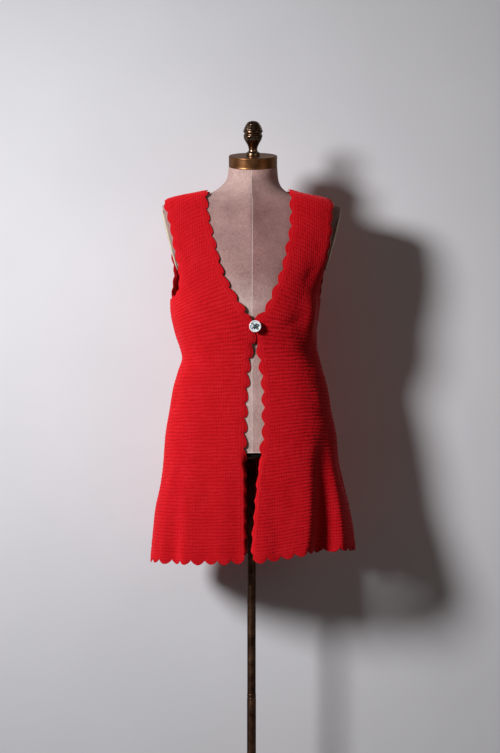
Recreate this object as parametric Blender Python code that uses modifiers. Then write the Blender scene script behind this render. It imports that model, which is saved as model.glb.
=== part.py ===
"""A long crocheted vest with scalloped edges, worn by a linen dress form on a bronze pole stand.

Metres, +Z up. The front faces -Y, and the origin is on the floor under the pole. Tables are in millimetres.
"Right" and "left" are the wearer's, so the right front lies at -X.

The cloth lies on one smooth skin. At each height the skin is a squared oval with its own reach to the
right, left, front and back, so the panels, their edgings and the folds all come from the same few tables.
"""

import math
from collections import namedtuple

import bmesh
import bpy
import numpy as np
from mathutils import Matrix

MM = 0.001
COLLECTION = "crocheted_vest_on_dress_form"
FRONT, BACK = -1, 1  # the sign of Y on each face of the garment
RIGHT, LEFT = -1, 1  # the sign of X on each side of the wearer

# ---- cloth sizes, in millimetres -------------------------------------------------------------------
WALL = 2.4  # the fabric between two ribs
RIB_RELIEF = 1.5  # a rib stands this much prouder
RIBS_BELOW_ARMHOLE = 67
RIBS_ABOVE_ARMHOLE = 29
RIB_PITCH_AT_HEM = 7.0
RIB_PITCH_AT_ARMHOLE = 9.1
ARMHOLE_BASE = 1170.0
SEAM_GAP = 0.35
PLAIN_SIDE_TOLERANCE = 0.7  # how far the plain inside may leave the true curve
SQUARENESS = 2.4  # 2 is an ellipse, more is squarer
SHOULDER_SEARCH = (1386.0, 1435.0)  # the heights between which the skin closes over the shoulders
SHOULDER_BEND_START = 1375.0  # above this the armhole's edge bends towards the shoulder's tip

# ---- how the rows lie above the armhole's base, in millimetres -------------------------------------
UPPER_SAMPLES = 160
SHELF_HEIGHT = 60.0  # the lowest part of the armhole, where its edge runs nearly level
SHELF_SIDEWAYS = 0.15  # how much a level move counts there when the ribs are spaced
CREST_HEIGHT = 80.0  # the highest part, where the cloth turns over the shoulder
CREST_SIDEWAYS = 0.6

# ---- crocheted shell edging, in millimetres --------------------------------------------------------
EDGING_THICKNESS = 2.6
SHELL_VALLEY = 9.5  # from the panel's edge to the notch between two shells
SHELL_TIP = 17.5  # from the panel's edge to the tip of a shell
RIGHT_FRONT_SHELLS = 27
LEFT_FRONT_SHELLS = 25
NECK_SHELLS = 11
RIGHT_ARMHOLE_SHELLS = 21
LEFT_ARMHOLE_SHELLS = 20
HEM_SHELLS = 41
SHELL_STEPS = 3
EDGE_ROLL = math.radians(62)  # how far the front edgings turn in below the form
EDGE_ROLL_START = 872.0
EDGE_ROLL_RISE = 45.0  # the height over which the turn grows
ABOVE_HEM = 0.15  # where the front edgings start, as a share of the first row
HEM_CORNER = 6.0  # how far the hem's edging runs past the front panels

# ---- the button, in millimetres --------------------------------------------------------------------
BUTTON_X = 7.4
BUTTON_HEIGHT = 1125.5
BUTTON_RADIUS = 12.6
BUTTON_THICKNESS = 4.6
BUTTON_STANDOFF = 10.0
SHANK_RADIUS = 1.5
BUTTONHOLE_HALF_LENGTH = 9.0
BUTTONHOLE_REACH = 12.0  # the edging stops this short beside the shank
OVERLAP_LIFT = 4.6  # the right front lies this much over the left front
OVERLAP_REACH = 85.0

# ---- the dress form and its stand, in millimetres --------------------------------------------------
NECK_TILT = math.radians(16.5)
NECK_TILT_START = 1416.0
FORM_TOP = 1471.0
FORM_BOTTOM = 861.5
FORM_SEGMENTS = 20
NECK_CENTRE_X = 3.2
CAP_RADIUS = 52.2
CAP_HEIGHT = 23.5
ARM_PLANE_X = 190.5
ARM_PLANE_HEIGHT = 1384.0
ARM_PLANE_LEAN = math.radians(14.3)
ARM_CUT_START = 1228.0  # the form is cut flat for the arms above this
ARM_PLATE_CENTRE_HEIGHT = 1314.0
ARM_PLATE_HALF_HEIGHT = 66.0
ARM_PLATE_HALF_WIDTH = 45.0
ARM_PLATE_THICKNESS = 4.0
ARM_PLATE_BACK_SHIFT = 6.0
BOARD_THICKNESS = 8.0
BOARD_INSET = 0.93
FLANGE_RADIUS = 32.0
FLANGE_HEIGHT = 10.0
POLE_UPPER_RADIUS = 9.1
POLE_LOWER_RADIUS = 9.6
POLE_JOINT_HEIGHT = 331.0
PART_GAP = 0.3

# The inner face of the cloth: reach from the pole's axis at each height.
Level = namedtuple("Level", "height right left front back")
VEST_SKIN = [
    Level(590, 218, 227, 153, 148),
    Level(630, 213.5, 222.5, 150, 145),
    Level(690, 208, 216, 144.5, 138),
    Level(740, 203, 207, 138, 133),
    Level(790, 193, 195, 131, 128),
    Level(840, 186, 184, 123.5, 124),
    Level(892, 182, 179.5, 116.5, 120),
    Level(944, 173.5, 169, 112.5, 115),
    Level(995, 165, 160.5, 108.5, 110),
    Level(1030, 155, 151, 107.5, 105),
    Level(1060, 146, 143, 109, 101),
    Level(1086, 152, 137.5, 114, 100),
    Level(1111, 160.5, 137, 122, 101),
    Level(1163, 171, 143, 133, 105),
    Level(1184, 172, 146, 133, 107),
    Level(1230, 178, 160, 127, 112),
    Level(1286, 192, 180, 110, 116),
    Level(1343, 202, 198, 90, 111),
    Level(1375, 204, 199, 78, 101),
    Level(1386, 199, 191, 74, 97),
    Level(1393, 191, 180, 71, 94),
    Level(1400, 177, 160, 67, 90),
    Level(1405, 157, 136, 65, 87),
    Level(1410, 130, 112, 63, 84),
    Level(1416, 101, 92, 62, 80),
    Level(1422, 84, 76, 60, 76),
    Level(1436, 66, 62, 58, 70),
]

FORM_SKIN = [
    Level(861.5, 150, 150, 110.6, 112),
    Level(900, 151, 151, 111.6, 114),
    Level(935, 146, 146, 109.6, 110),
    Level(970, 128, 128, 106.6, 93),
    Level(1010, 114, 114, 103.6, 79),
    Level(1050, 114, 114, 104.6, 78),
    Level(1090, 119, 119, 111.6, 84),
    Level(1130, 128, 128, 121.6, 91),
    Level(1167, 135, 135, 128.9, 96),
    Level(1230, 147, 146, 120.9, 105),
    Level(1262, 164, 162, 112.2, 108),
    Level(1295, 183, 180, 102.4, 108),
    Level(1330, 197, 193, 89.9, 105),
    Level(1360, 205, 201, 78.4, 97),
    Level(1376, 206, 200, 71.9, 91),
    Level(1385, 197, 190, 65, 87),
    Level(1391, 176, 162, 62, 84),
    Level(1397, 152, 134, 60, 81),
    Level(1403, 120, 104, 58, 77),
    Level(1410, 95, 87, 57, 73),
    Level(1418, 79, 73, 56, 70),
    Level(1430, 64, 62, 54, 65),
    Level(1446, 52, 57, 53, 60),
    Level(1471, 48.5, 54.9, 51.5, 52),
]

# The edge of each front panel, from hem to shoulder: distance from the centre line, towards its own side.
Edge = namedtuple("Edge", "height right left")
FRONT_EDGES = [
    Edge(600, 22, 9),
    Edge(670, 21, 9),
    Edge(724, 21, 13),
    Edge(772, 21, 17),
    Edge(815, 21, 21.5),
    Edge(861, 26.5, 32),
    Edge(905, 26, 37),
    Edge(960, 24, 37.5),
    Edge(1011, 21, 35),
    Edge(1045, 18, 31),
    Edge(1085, 10.5, 23.5),
    Edge(1104, 7.5, 20),
    Edge(1126, 7.5, 19),
    Edge(1138, 15, 28),
    Edge(1150, 26, 38),
    Edge(1176, 42.5, 51),
    Edge(1198, 55.5, 60.5),
    Edge(1231, 72, 73),
    Edge(1262, 81, 81),
    Edge(1290, 88, 87),
    Edge(1316, 95, 92),
    Edge(1345, 101, 95),
    Edge(1373, 106, 96),
    Edge(1393, 108, 95),
    Edge(1416, 108, 94),
]

# The armhole edges, as the share of the skin's half-width that each panel still covers.
Armhole = namedtuple("Armhole", "height front_right front_left back_right back_left")
ARMHOLE_EDGES = [
    Armhole(1170, 1.0, 1.0, 1.0, 1.0),
    Armhole(1175, 0.955, 0.975, 0.985, 0.985),
    Armhole(1184, 0.89, 0.945, 0.97, 0.975),
    Armhole(1200, 0.83, 0.915, 0.955, 0.96),
    Armhole(1223, 0.80, 0.88, 0.92, 0.93),
    Armhole(1250, 0.785, 0.85, 0.88, 0.885),
    Armhole(1304, 0.785, 0.808, 0.85, 0.83),
    Armhole(1343, 0.798, 0.785, 0.832, 0.80),
    Armhole(1375, 0.83, 0.806, 0.843, 0.82),
    Armhole(1390, 0.882, 0.855, 0.885, 0.858),
]
SHOULDER_TIP = {RIGHT: 172.0, LEFT: 157.0}
BACK_NECK_DROP = 16.0
BACK_NECK_FLATNESS = 4.0

# The hem's height by direction: 0 is the front, 90 the wearer's left, -90 the right, 180 the back.
Hem = namedtuple("Hem", "angle height")
HEM_LINE = [
    Hem(-180, 638),
    Hem(-135, 637),
    Hem(-90, 643),
    Hem(-45, 650),
    Hem(-8, 655),
    Hem(8, 659),
    Hem(28, 670),
    Hem(42, 675),
    Hem(62, 673),
    Hem(90, 665),
    Hem(135, 648),
    Hem(180, 638),
]

# Folds that grow from a starting height down to the hem. A positive depth stands out, a negative one is a valley.
# The angle is the one at the hem, and lean is the degrees that the fold turns for each metre above it.
Fold = namedtuple("Fold", "angle half_width depth starts_at lean", defaults=[0])
FOLDS = [
    Fold(41, 7.0, -36, 915, 50),  # the deep pleat in the left front
    Fold(31, 9.0, 5, 880, 50),
    Fold(54, 9.0, 5, 880, 50),
    Fold(3, 8.0, 12, 850),  # the left front's edge swings out
    Fold(-4, 8.0, -16, 850),  # the right front's edge turns in
    Fold(-26, 9.0, -7, 980),
    Fold(-38, 7.0, 5, 900),
    Fold(-48, 5.5, -12, 790),
    Fold(-66, 12.0, 5, 880),
    Fold(122, 9.0, -14, 930),
    Fold(148, 12.0, 7, 940),
    Fold(172, 9.0, -11, 900),
    Fold(-165, 11.0, 6, 900),
    Fold(-145, 8.0, -14, 950),
    Fold(-125, 12.0, 6, 900),
]

# The lines that divide each panel into columns, by direction below the armhole and by place at the shoulder.
Column = namedtuple("Column", "angle shoulder")  # shoulder: 0 at the front edge, 1 at the armhole
LEFT_FRONT_COLUMNS = [
    Column(0.0, 0.0),
    Column(0.2, 0.2),
    Column(0.375, 0.38),
    Column(0.5, 0.55),
    Column(0.645, 0.7),
    Column(0.82, 0.85),
    Column(1.0, 1.0),
]
RIGHT_FRONT_COLUMNS = [
    Column(0.0, 0.0),
    Column(0.21, 0.25),
    Column(0.36, 0.45),
    Column(0.48, 0.63),
    Column(0.70, 0.82),
    Column(1.0, 1.0),
]
BackColumn = namedtuple("BackColumn", "angle shoulder")  # shoulder: X at the shoulder line, in millimetres
BACK_COLUMNS = [
    BackColumn(-90, -172),
    BackColumn(-112, -137),
    BackColumn(-130, -108),
    BackColumn(-145, -92),
    BackColumn(-165, -40),
    BackColumn(172, 14),
    BackColumn(150, 62),
    BackColumn(136, 82),
    BackColumn(122, 94),
    BackColumn(106, 124),
    BackColumn(90, 157),
]
COLUMN_LEAN = {RIGHT: 0.0, LEFT: 2.22}  # how fast the middle columns follow the pleat, as a share of the turn per metre
COLUMN_LEAN_FROM = 740.0
COLUMN_LEAN_TO = 915.0
BACK_NECK_COLUMNS = slice(2, 9)  # the columns that end on the neck line

# ---- materials: base colour, roughness, metallic ----------------------------------------------------
Finish = namedtuple("Finish", "colour roughness metallic")
FINISHES = {
    "red_wool": Finish((0.56, 0.011, 0.017), 0.9, 0.0),
    "pearl_button": Finish((0.82, 0.83, 0.85), 0.2, 0.0),
    "linen_cover": Finish((0.40, 0.29, 0.275), 0.9, 0.0),
    "antique_bronze": Finish((0.30, 0.15, 0.07), 0.35, 1.0),
    "dark_board": Finish((0.05, 0.03, 0.02), 0.7, 0.0),
}

# The finial and the foot are turned: radius and height of each point of the profile.
Turn = namedtuple("Turn", "radius height")
FINIAL_PROFILE = [
    Turn(0, 73.5),
    Turn(8.0, 71.6),
    Turn(14.6, 67.4),
    Turn(18.2, 61.0),
    Turn(21.0, 53.0),
    Turn(18.2, 48.0),
    Turn(20.4, 43.6),
    Turn(19.6, 38.0),
    Turn(15.2, 29.5),
    Turn(10.4, 22.0),
    Turn(9.1, 15.0),
    Turn(10.6, 8.6),
    Turn(14.6, 7.2),
    Turn(15.1, 3.2),
    Turn(15.1, 0.0),
    Turn(0, 0.0),
]
FOOT_PROFILE = [
    Turn(0, 74.0),
    Turn(16.0, 74.0),
    Turn(19.0, 70.0),
    Turn(19.0, 52.0),
    Turn(24.0, 36.0),
    Turn(48.0, 24.0),
    Turn(120.0, 17.0),
    Turn(161.0, 13.0),
    Turn(170.0, 7.0),
    Turn(170.0, 0.0),
    Turn(0, 0.0),
]


def curve_through(xs, ys):
    """A function that passes through the points without overshooting them (monotone cubic)."""
    xs, ys = np.asarray(xs, float), np.asarray(ys, float)
    step = np.diff(xs)
    slope = np.diff(ys) / step
    tangent = np.zeros(len(xs))
    tangent[0], tangent[-1] = slope[0], slope[-1]
    for i in range(1, len(xs) - 1):
        if slope[i - 1] * slope[i] > 0:
            before, after = 2 * step[i] + step[i - 1], step[i] + 2 * step[i - 1]
            tangent[i] = (before + after) / (before / slope[i - 1] + after / slope[i])

    def value(x):
        x = min(max(float(x), xs[0]), xs[-1])
        i = min(int(np.searchsorted(xs, x, side="right")) - 1, len(xs) - 2)
        t = (x - xs[i]) / step[i]
        return float(
            ys[i] * (1 + 2 * t) * (1 - t) ** 2
            + tangent[i] * step[i] * t * (1 - t) ** 2
            + ys[i + 1] * t * t * (3 - 2 * t)
            + tangent[i + 1] * step[i] * t * t * (t - 1)
        )

    return value


def column_of(rows, key, name):
    """A smooth function of one column of a table, by another."""
    return curve_through([getattr(row, key) for row in rows], [getattr(row, name) for row in rows])


def soft_step(t):
    """0 below 0, 1 above 1, with level ends."""
    t = min(max(t, 0.0), 1.0)
    return t * t * (3 - 2 * t)


def soft_bump(t):
    """1 at 0, falling to 0 at -1 and at 1."""
    return 0.5 * (1 + math.cos(math.pi * min(abs(t), 1.0)))


class Skin:
    """A closed oval at every height, squared a little, with its own reach in four directions."""

    def __init__(self, levels):
        self.reach = {name: column_of(levels, "height", name) for name in Level._fields[1:]}

    def half_width(self, x, height):
        return self.reach["left" if x >= 0 else "right"](height)

    def depth(self, y, height):
        return self.reach["front" if y < 0 else "back"](height)

    def point(self, face, share, height):
        """A point of the front or back face. share is -1 at the right side, 0 in the middle, 1 at the left."""
        bow = max(0.0, 1 - abs(share) ** SQUARENESS)
        x = share * self.half_width(share, height)
        y = face * self.depth(face, height) * math.sqrt(bow)
        return np.array([x, y, height])

    def normal(self, point, face):
        """The outward normal, from the slope of the oval and from how it widens with height."""
        x, y, height = point
        rise = 0.5
        width, depth = self.half_width(x, height), self.depth(face, height)
        width_slope = (self.half_width(x, height + rise) - self.half_width(x, height - rise)) / (2 * rise)
        depth_slope = (self.depth(face, height + rise) - self.depth(face, height - rise)) / (2 * rise)
        share = min(abs(x) / width, 1.0)
        across = SQUARENESS * share ** (SQUARENESS - 1) / width
        gradient = np.array(
            [
                math.copysign(across, x),
                2 * y / depth**2,
                -across * share * width_slope - 2 * y * y * depth_slope / depth**3,
            ]
        )
        return gradient / np.linalg.norm(gradient)

    def shoulder_height(self, x):
        """Where the skin closes over the shoulder at this distance from the middle."""
        low, high = SHOULDER_SEARCH
        for _ in range(40):
            middle = (low + high) / 2
            if self.half_width(x, middle) > abs(x):
                low = middle
            else:
                high = middle
        return low

    def pull_onto(self, point, face):
        """Moves a point along the normal until it lies on the skin."""
        for _ in range(6):
            x, y, height = point
            share = abs(x) / self.half_width(x, height)
            level = share**SQUARENESS + (y / self.depth(face, height)) ** 2 - 1
            width = self.half_width(x, height)
            normal = self.normal(point, face)
            steepness = math.hypot(
                SQUARENESS * share ** (SQUARENESS - 1) / width,
                2 * y / self.depth(face, height) ** 2,
            )
            steepness /= max(math.hypot(normal[0], normal[1]), 1e-6)
            point = point - normal * level / max(steepness, 1e-6)
        return point


VEST = Skin(VEST_SKIN)
FORM = Skin(FORM_SKIN)
HEM_HEIGHT = column_of(HEM_LINE, "angle", "height")
EDGE_AT = {RIGHT: column_of(FRONT_EDGES, "height", "right"), LEFT: column_of(FRONT_EDGES, "height", "left")}
ARMHOLE_AT = {
    (FRONT, RIGHT): column_of(ARMHOLE_EDGES, "height", "front_right"),
    (FRONT, LEFT): column_of(ARMHOLE_EDGES, "height", "front_left"),
    (BACK, RIGHT): column_of(ARMHOLE_EDGES, "height", "back_right"),
    (BACK, LEFT): column_of(ARMHOLE_EDGES, "height", "back_left"),
}


def direction_of(point):
    """Degrees round the body: 0 at the front, 90 at the wearer's left, 180 at the back."""
    x, y, height = point
    across = x / VEST.half_width(x, height)
    along = -y / VEST.depth(y, height)
    return math.degrees(math.atan2(across, along))


def fold_depth(point):
    """How far the folds push the cloth out at this place of the skin."""
    angle, height = direction_of(point), point[2]
    total = 0.0
    for fold in FOLDS:
        lean = fold.lean * (height - HEM_LINE[0].height) * MM
        turn = (angle - fold.angle - lean + 180) % 360 - 180
        drop = (fold.starts_at - height) / (fold.starts_at - HEM_LINE[0].height)
        if drop > 0 and abs(turn) < 2 * fold.half_width:
            total += fold.depth * min(drop, 1.1) ** 1.2 * soft_bump(turn / (2 * fold.half_width))
    return total


def overlap_lift(point, side):
    """The right front rises over the left front around the button."""
    if side != RIGHT or point[1] > 0:
        return 0.0
    away = math.hypot(point[0] - BUTTON_X, point[2] - BUTTON_HEIGHT)
    return OVERLAP_LIFT * soft_step(1.6 * (1 - away / OVERLAP_REACH))


def cloth_point(point, face, side, offset):
    """A point of the skin moved out by the folds, the overlap and the offset."""
    out = offset + fold_depth(point) + overlap_lift(point, side)
    return point + VEST.normal(point, face) * out


# ---- where the rows of ribs run ----------------------------------------------------------------------
def rib_share(rib):
    """The share of the height from hem to armhole that this rib has reached."""
    growth = (RIB_PITCH_AT_ARMHOLE - RIB_PITCH_AT_HEM) / (2 * RIBS_BELOW_ARMHOLE)
    whole = RIB_PITCH_AT_HEM * RIBS_BELOW_ARMHOLE + growth * RIBS_BELOW_ARMHOLE**2
    return (RIB_PITCH_AT_HEM * rib + growth * rib * rib) / whole


def lower_height(rib, angle):
    hem = HEM_HEIGHT(angle)
    return hem + (ARMHOLE_BASE - hem) * rib_share(rib)


def edge_share(side, height):
    """The share of the half-width where a front panel's edge lies."""
    return side * EDGE_AT[side](height) / VEST.half_width(side, height)


def lower_front(side, column, rib):
    """A point below the armhole: the column runs from the panel's front edge to the side seam."""
    height = lower_height(rib, side * 90 * column.angle)
    edge = math.asin(edge_share(side, height))
    rise = (min(height, COLUMN_LEAN_TO) - COLUMN_LEAN_FROM) * MM
    share = column.angle + COLUMN_LEAN[side] * rise * column.angle * (1 - column.angle)
    turn = edge + (side * math.pi / 2 - edge) * share
    height = lower_height(rib, math.degrees(turn))
    return VEST.point(FRONT, math.sin(turn), height)


def lower_back(column, rib):
    height = lower_height(rib, column.angle)
    share = math.sin(math.radians(column.angle))
    return VEST.point(BACK, share, height)


def armhole_x(face, side, height, top):
    """The armhole edge. Over the shoulder it bends towards its end on the shoulder line."""
    share = ARMHOLE_AT[face, side](height)
    x = share * VEST.half_width(side, height)
    blend = soft_step((height - SHOULDER_BEND_START) / (top - SHOULDER_BEND_START))
    return side * (x + (SHOULDER_TIP[side] - x) * blend)


def spaced_path(path, count, sideways=1.0):
    """count + 1 points at even distances along a path. sideways is how much a level move counts."""
    path = np.asarray(path)
    steps = np.diff(path, axis=0)
    moved = np.hypot(steps[:, 2], sideways * np.hypot(steps[:, 0], steps[:, 1]))
    length = np.concatenate([[0], np.cumsum(moved)])
    wanted = np.linspace(0, length[-1], count + 1)
    return np.stack([np.interp(wanted, length, path[:, axis]) for axis in range(3)], axis=1)


def upper_path(face, start, place_at, top_x, top_height):
    """One column's line from the armhole's base to the top edge. place_at gives its X at a share of the way."""
    path = []
    for i in range(UPPER_SAMPLES + 1):
        rise = 1 - (1 - i / UPPER_SAMPLES) ** 2
        height = ARMHOLE_BASE + (top_height - ARMHOLE_BASE) * rise
        x = place_at(rise) if i < UPPER_SAMPLES else top_x
        share = max(-1.0, min(1.0, x / VEST.half_width(x, height)))
        path.append(VEST.point(face, share, height))
    path[0] = start
    sideways = []
    for point in path[1:]:
        climb = soft_step((point[2] - ARMHOLE_BASE) / SHELF_HEIGHT)
        crest = soft_step(1 - (top_height - point[2]) / CREST_HEIGHT)
        sideways.append(SHELF_SIDEWAYS + (1 - SHELF_SIDEWAYS) * climb - (1 - CREST_SIDEWAYS) * crest)
    return spaced_path(path, 2 * RIBS_ABOVE_ARMHOLE, np.array(sideways))


def front_upper(side, column, start):
    edge_x = EDGE_AT[side](FRONT_EDGES[-1].height)
    edge_top = VEST.shoulder_height(side * edge_x)
    tip_top = VEST.shoulder_height(side * SHOULDER_TIP[side])
    inner, outer = side * EDGE_AT[side](ARMHOLE_BASE), side * VEST.half_width(side, ARMHOLE_BASE)
    start_share = (start[0] - inner) / (outer - inner)

    def place_at(rise):
        inner_x = side * EDGE_AT[side](ARMHOLE_BASE + (edge_top - ARMHOLE_BASE) * rise)
        outer_x = armhole_x(FRONT, side, ARMHOLE_BASE + (tip_top - ARMHOLE_BASE) * rise, tip_top)
        share = start_share + (column.shoulder - start_share) * soft_step(rise)
        return inner_x + (outer_x - inner_x) * share

    top_x = side * (edge_x + (SHOULDER_TIP[side] - edge_x) * column.shoulder)
    return upper_path(FRONT, start, place_at, top_x, VEST.shoulder_height(top_x))


def back_top_height(x):
    """The shoulder line, dipping between the two neck points."""
    side = LEFT if x >= 0 else RIGHT
    neck = EDGE_AT[side](FRONT_EDGES[-1].height)
    if abs(x) >= neck:
        return VEST.shoulder_height(x)
    at_neck = VEST.shoulder_height(side * neck)
    return at_neck - BACK_NECK_DROP * (1 - (abs(x) / neck) ** BACK_NECK_FLATNESS)


def back_upper(column, start):
    tops = {side: VEST.shoulder_height(side * SHOULDER_TIP[side]) for side in (RIGHT, LEFT)}
    low = {side: side * VEST.half_width(side, ARMHOLE_BASE) for side in (RIGHT, LEFT)}
    start_share = (start[0] - low[RIGHT]) / (low[LEFT] - low[RIGHT])
    end_share = (column.shoulder + SHOULDER_TIP[RIGHT]) / (SHOULDER_TIP[RIGHT] + SHOULDER_TIP[LEFT])

    def place_at(rise):
        edges = {
            side: armhole_x(BACK, side, ARMHOLE_BASE + (tops[side] - ARMHOLE_BASE) * rise, tops[side])
            for side in (RIGHT, LEFT)
        }
        share = start_share + (end_share - start_share) * soft_step(rise)
        return edges[RIGHT] + (edges[LEFT] - edges[RIGHT]) * share

    return upper_path(BACK, start, place_at, column.shoulder, back_top_height(column.shoulder))


def panel_lines(face, side):
    """The panel's skin points, one list per column line, from hem to shoulder, at each rib and between ribs."""
    lines = []
    if face == FRONT:
        columns = RIGHT_FRONT_COLUMNS if side == RIGHT else LEFT_FRONT_COLUMNS
    else:
        columns = BACK_COLUMNS
    for column in columns:
        if face == FRONT:
            lower = [lower_front(side, column, j / 2) for j in range(2 * RIBS_BELOW_ARMHOLE + 1)]
            upper = front_upper(side, column, lower[-1])
        else:
            lower = [lower_back(column, j / 2) for j in range(2 * RIBS_BELOW_ARMHOLE + 1)]
            upper = back_upper(column, lower[-1])
        lines.append(np.vstack([lower, upper[1:]]))
    return np.array(lines)


def keep_off_seam(points, face):
    """Leaves the seam's gap at the sides and over the shoulders, where front and back meet."""
    points[..., 1] = face * np.maximum(face * points[..., 1], SEAM_GAP / 2)
    return points


def plain_rows(points):
    """The few rows that the plain inside needs to stay near its curve."""
    kept, last = [0], points.shape[1] - 1
    while kept[-1] < last:
        start, best = kept[-1], kept[-1] + 1
        for end in range(start + 2, last + 1):
            a, b = points[:, start], points[:, end]
            along = (b - a) / np.linalg.norm(b - a, axis=1, keepdims=True)
            between = points[:, start + 1 : end] - a[:, None]
            off = between - (between * along[:, None]).sum(2, keepdims=True) * along[:, None]
            if np.linalg.norm(off, axis=2).max() > PLAIN_SIDE_TOLERANCE:
                break
            best = end
        kept.append(best)
    return kept


def zip_by_row(long_chain, short_chain, rows):
    """Triangles between an edge with every row and an edge with only some of them."""
    faces = []
    for j, (start, end) in enumerate(zip(rows[:-1], rows[1:])):
        middle = (start + end) // 2
        for i in range(start, end):
            if i == middle:
                faces.append((long_chain[i], short_chain[j + 1], short_chain[j]))
            near = short_chain[j] if i < middle else short_chain[j + 1]
            faces.append((long_chain[i], long_chain[i + 1], near))
    return faces


def add_object(name, finish, mesh, smooth=False):
    """Links a mesh to the collection under its node name, with its finish."""
    obj = bpy.data.objects.new(name, mesh)
    bpy.data.collections[COLLECTION].objects.link(obj)
    mesh.materials.append(bpy.data.materials[finish])
    if smooth:
        mesh.shade_smooth()
        mesh.set_sharp_from_angle(angle=math.radians(40))
    return obj


def closed_mesh(name, points, faces):
    """A mesh from points in millimetres, with its faces turned outwards."""
    mesh = bpy.data.meshes.new(name)
    mesh.from_pydata([tuple(np.asarray(p) * MM) for p in points], [], faces)
    work = bmesh.new()
    work.from_mesh(mesh)
    bmesh.ops.recalc_face_normals(work, faces=work.faces)
    bmesh.ops.triangulate(work, faces=work.faces)
    work.to_mesh(mesh)
    work.free()
    return mesh


def ribbed_panel(name, face, side):
    """A panel of cloth: ribs on its outer points, a plain inside, and returns its skin points."""
    skin = panel_lines(face, side)
    count, rows = skin.shape[:2]
    outer, inner = np.zeros_like(skin), np.zeros_like(skin)
    for i in range(count):
        for j in range(rows):
            relief = RIB_RELIEF if j % 2 else 0.0
            outer[i, j] = cloth_point(skin[i, j], face, side, WALL + relief)
            inner[i, j] = cloth_point(skin[i, j], face, side, 0.0)
    outer, inner = keep_off_seam(outer, face), keep_off_seam(inner, face)
    kept = plain_rows(inner)
    points = list(outer.reshape(-1, 3)) + list(inner[:, kept].reshape(-1, 3))
    first_inner = count * rows

    def out(i, j):
        return i * rows + j

    def within(i, k):
        return first_inner + i * len(kept) + k

    faces = []
    for i in range(count - 1):
        faces += [(out(i, j), out(i + 1, j), out(i + 1, j + 1), out(i, j + 1)) for j in range(rows - 1)]
        faces += [
            (within(i, k), within(i, k + 1), within(i + 1, k + 1), within(i + 1, k))
            for k in range(len(kept) - 1)
        ]
        for j, k in ((0, 0), (rows - 1, len(kept) - 1)):
            faces.append((out(i, j), within(i, k), within(i + 1, k), out(i + 1, j)))
    for i in (0, count - 1):
        long_chain = [out(i, j) for j in range(rows)]
        short_chain = [within(i, k) for k in range(len(kept))]
        faces += zip_by_row(long_chain, short_chain, kept)
    add_object(name, "red_wool", closed_mesh(name, points, faces))
    return skin


# ---- the shell edging --------------------------------------------------------------------------------
def shell_outline(along, count):
    """How far the edging reaches at this share of its length: notches between rounded shells."""
    place = (along * count) % 1.0
    return SHELL_VALLEY + (SHELL_TIP - SHELL_VALLEY) * math.sin(math.pi * place) ** 0.8


def chord_bulges(path, steps, outward_of):
    """How far the path bulges past the straight step from each of its spaced points to the next."""
    length = np.concatenate([[0], np.cumsum(np.linalg.norm(np.diff(path, axis=0), axis=1))])
    spots = np.linspace(0, length[-1], steps + 1)
    base = spaced_path(path, steps)
    bulges = np.zeros(steps)
    for i in range(steps):
        between = path[(length > spots[i]) & (length < spots[i + 1])]
        for point in between:
            bulges[i] = max(bulges[i], float(np.dot(point - base[i], outward_of(base[i], base[i + 1]))))
    return bulges


def edge_turn(height):
    """How far a front edging turns in towards the body at a height, in radians."""
    return EDGE_ROLL * soft_step((EDGE_ROLL_START - height) / EDGE_ROLL_RISE)


def edging(name, path, face, side, outward, shells, closed=False, notch=None):
    """A strip of shells along a panel's edge. outward is +1 or -1: which side of the path is free.

    face is None where the strip goes round both, and side where it belongs to neither front.
    """
    steps = shells * SHELL_STEPS
    base = spaced_path(path, steps)

    def free_side(start, end):
        here = face or (FRONT if start[1] < 0 else BACK)
        across = outward * np.cross(end - start, VEST.normal(start, here))
        return across / np.linalg.norm(across)

    bulges = chord_bulges(path, steps, free_side)
    if closed:
        base = base[:-1]
    total = len(base)
    rows = []
    for i in range(total):
        before = base[(i - 1) % total] if closed else base[max(i - 1, 0)]
        after = base[(i + 1) % total] if closed else base[min(i + 1, total - 1)]
        here = face or (FRONT if base[i][1] < 0 else BACK)
        tangent = after - before
        across = outward * np.cross(tangent, VEST.normal(base[i], here))
        across /= np.linalg.norm(across)
        root = SEAM_GAP + max(bulges[max(i - 1, 0)], bulges[min(i, steps - 1)])
        reach = shell_outline(i / steps, shells)
        if notch is not None and abs(base[i][2] - notch) < BUTTONHOLE_HALF_LENGTH:
            reach = BUTTONHOLE_REACH
        turn = edge_turn(base[i][2]) if side else 0.0
        ring = []
        for inside, outside in ((root + PLAIN_SIDE_TOLERANCE, root), (reach, reach)):
            for distance, offset in ((inside, 0.1), (outside, EDGING_THICKNESS)):
                free = distance - root
                away = root + free * math.cos(turn) + offset * math.sin(turn)
                spot = VEST.pull_onto(base[i] + across * away, here)
                ring.append(cloth_point(spot, here, side, offset * math.cos(turn) - free * math.sin(turn)))
        rows.append(ring)
    rows = np.array(rows)
    if face:
        rows = keep_off_seam(rows, face)
    corners = [0, 1, 3, 2]
    faces = []
    spans = total if closed else total - 1
    for i in range(spans):
        j = (i + 1) % total
        for a, b in zip(corners, corners[1:] + corners[:1]):
            faces.append((4 * i + a, 4 * i + b, 4 * j + b, 4 * j + a))
    if not closed:
        faces.append(tuple(corners))
        faces.append(tuple(4 * (total - 1) + c for c in corners))
    add_object(name, "red_wool", closed_mesh(name, rows.reshape(-1, 3), faces))


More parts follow.
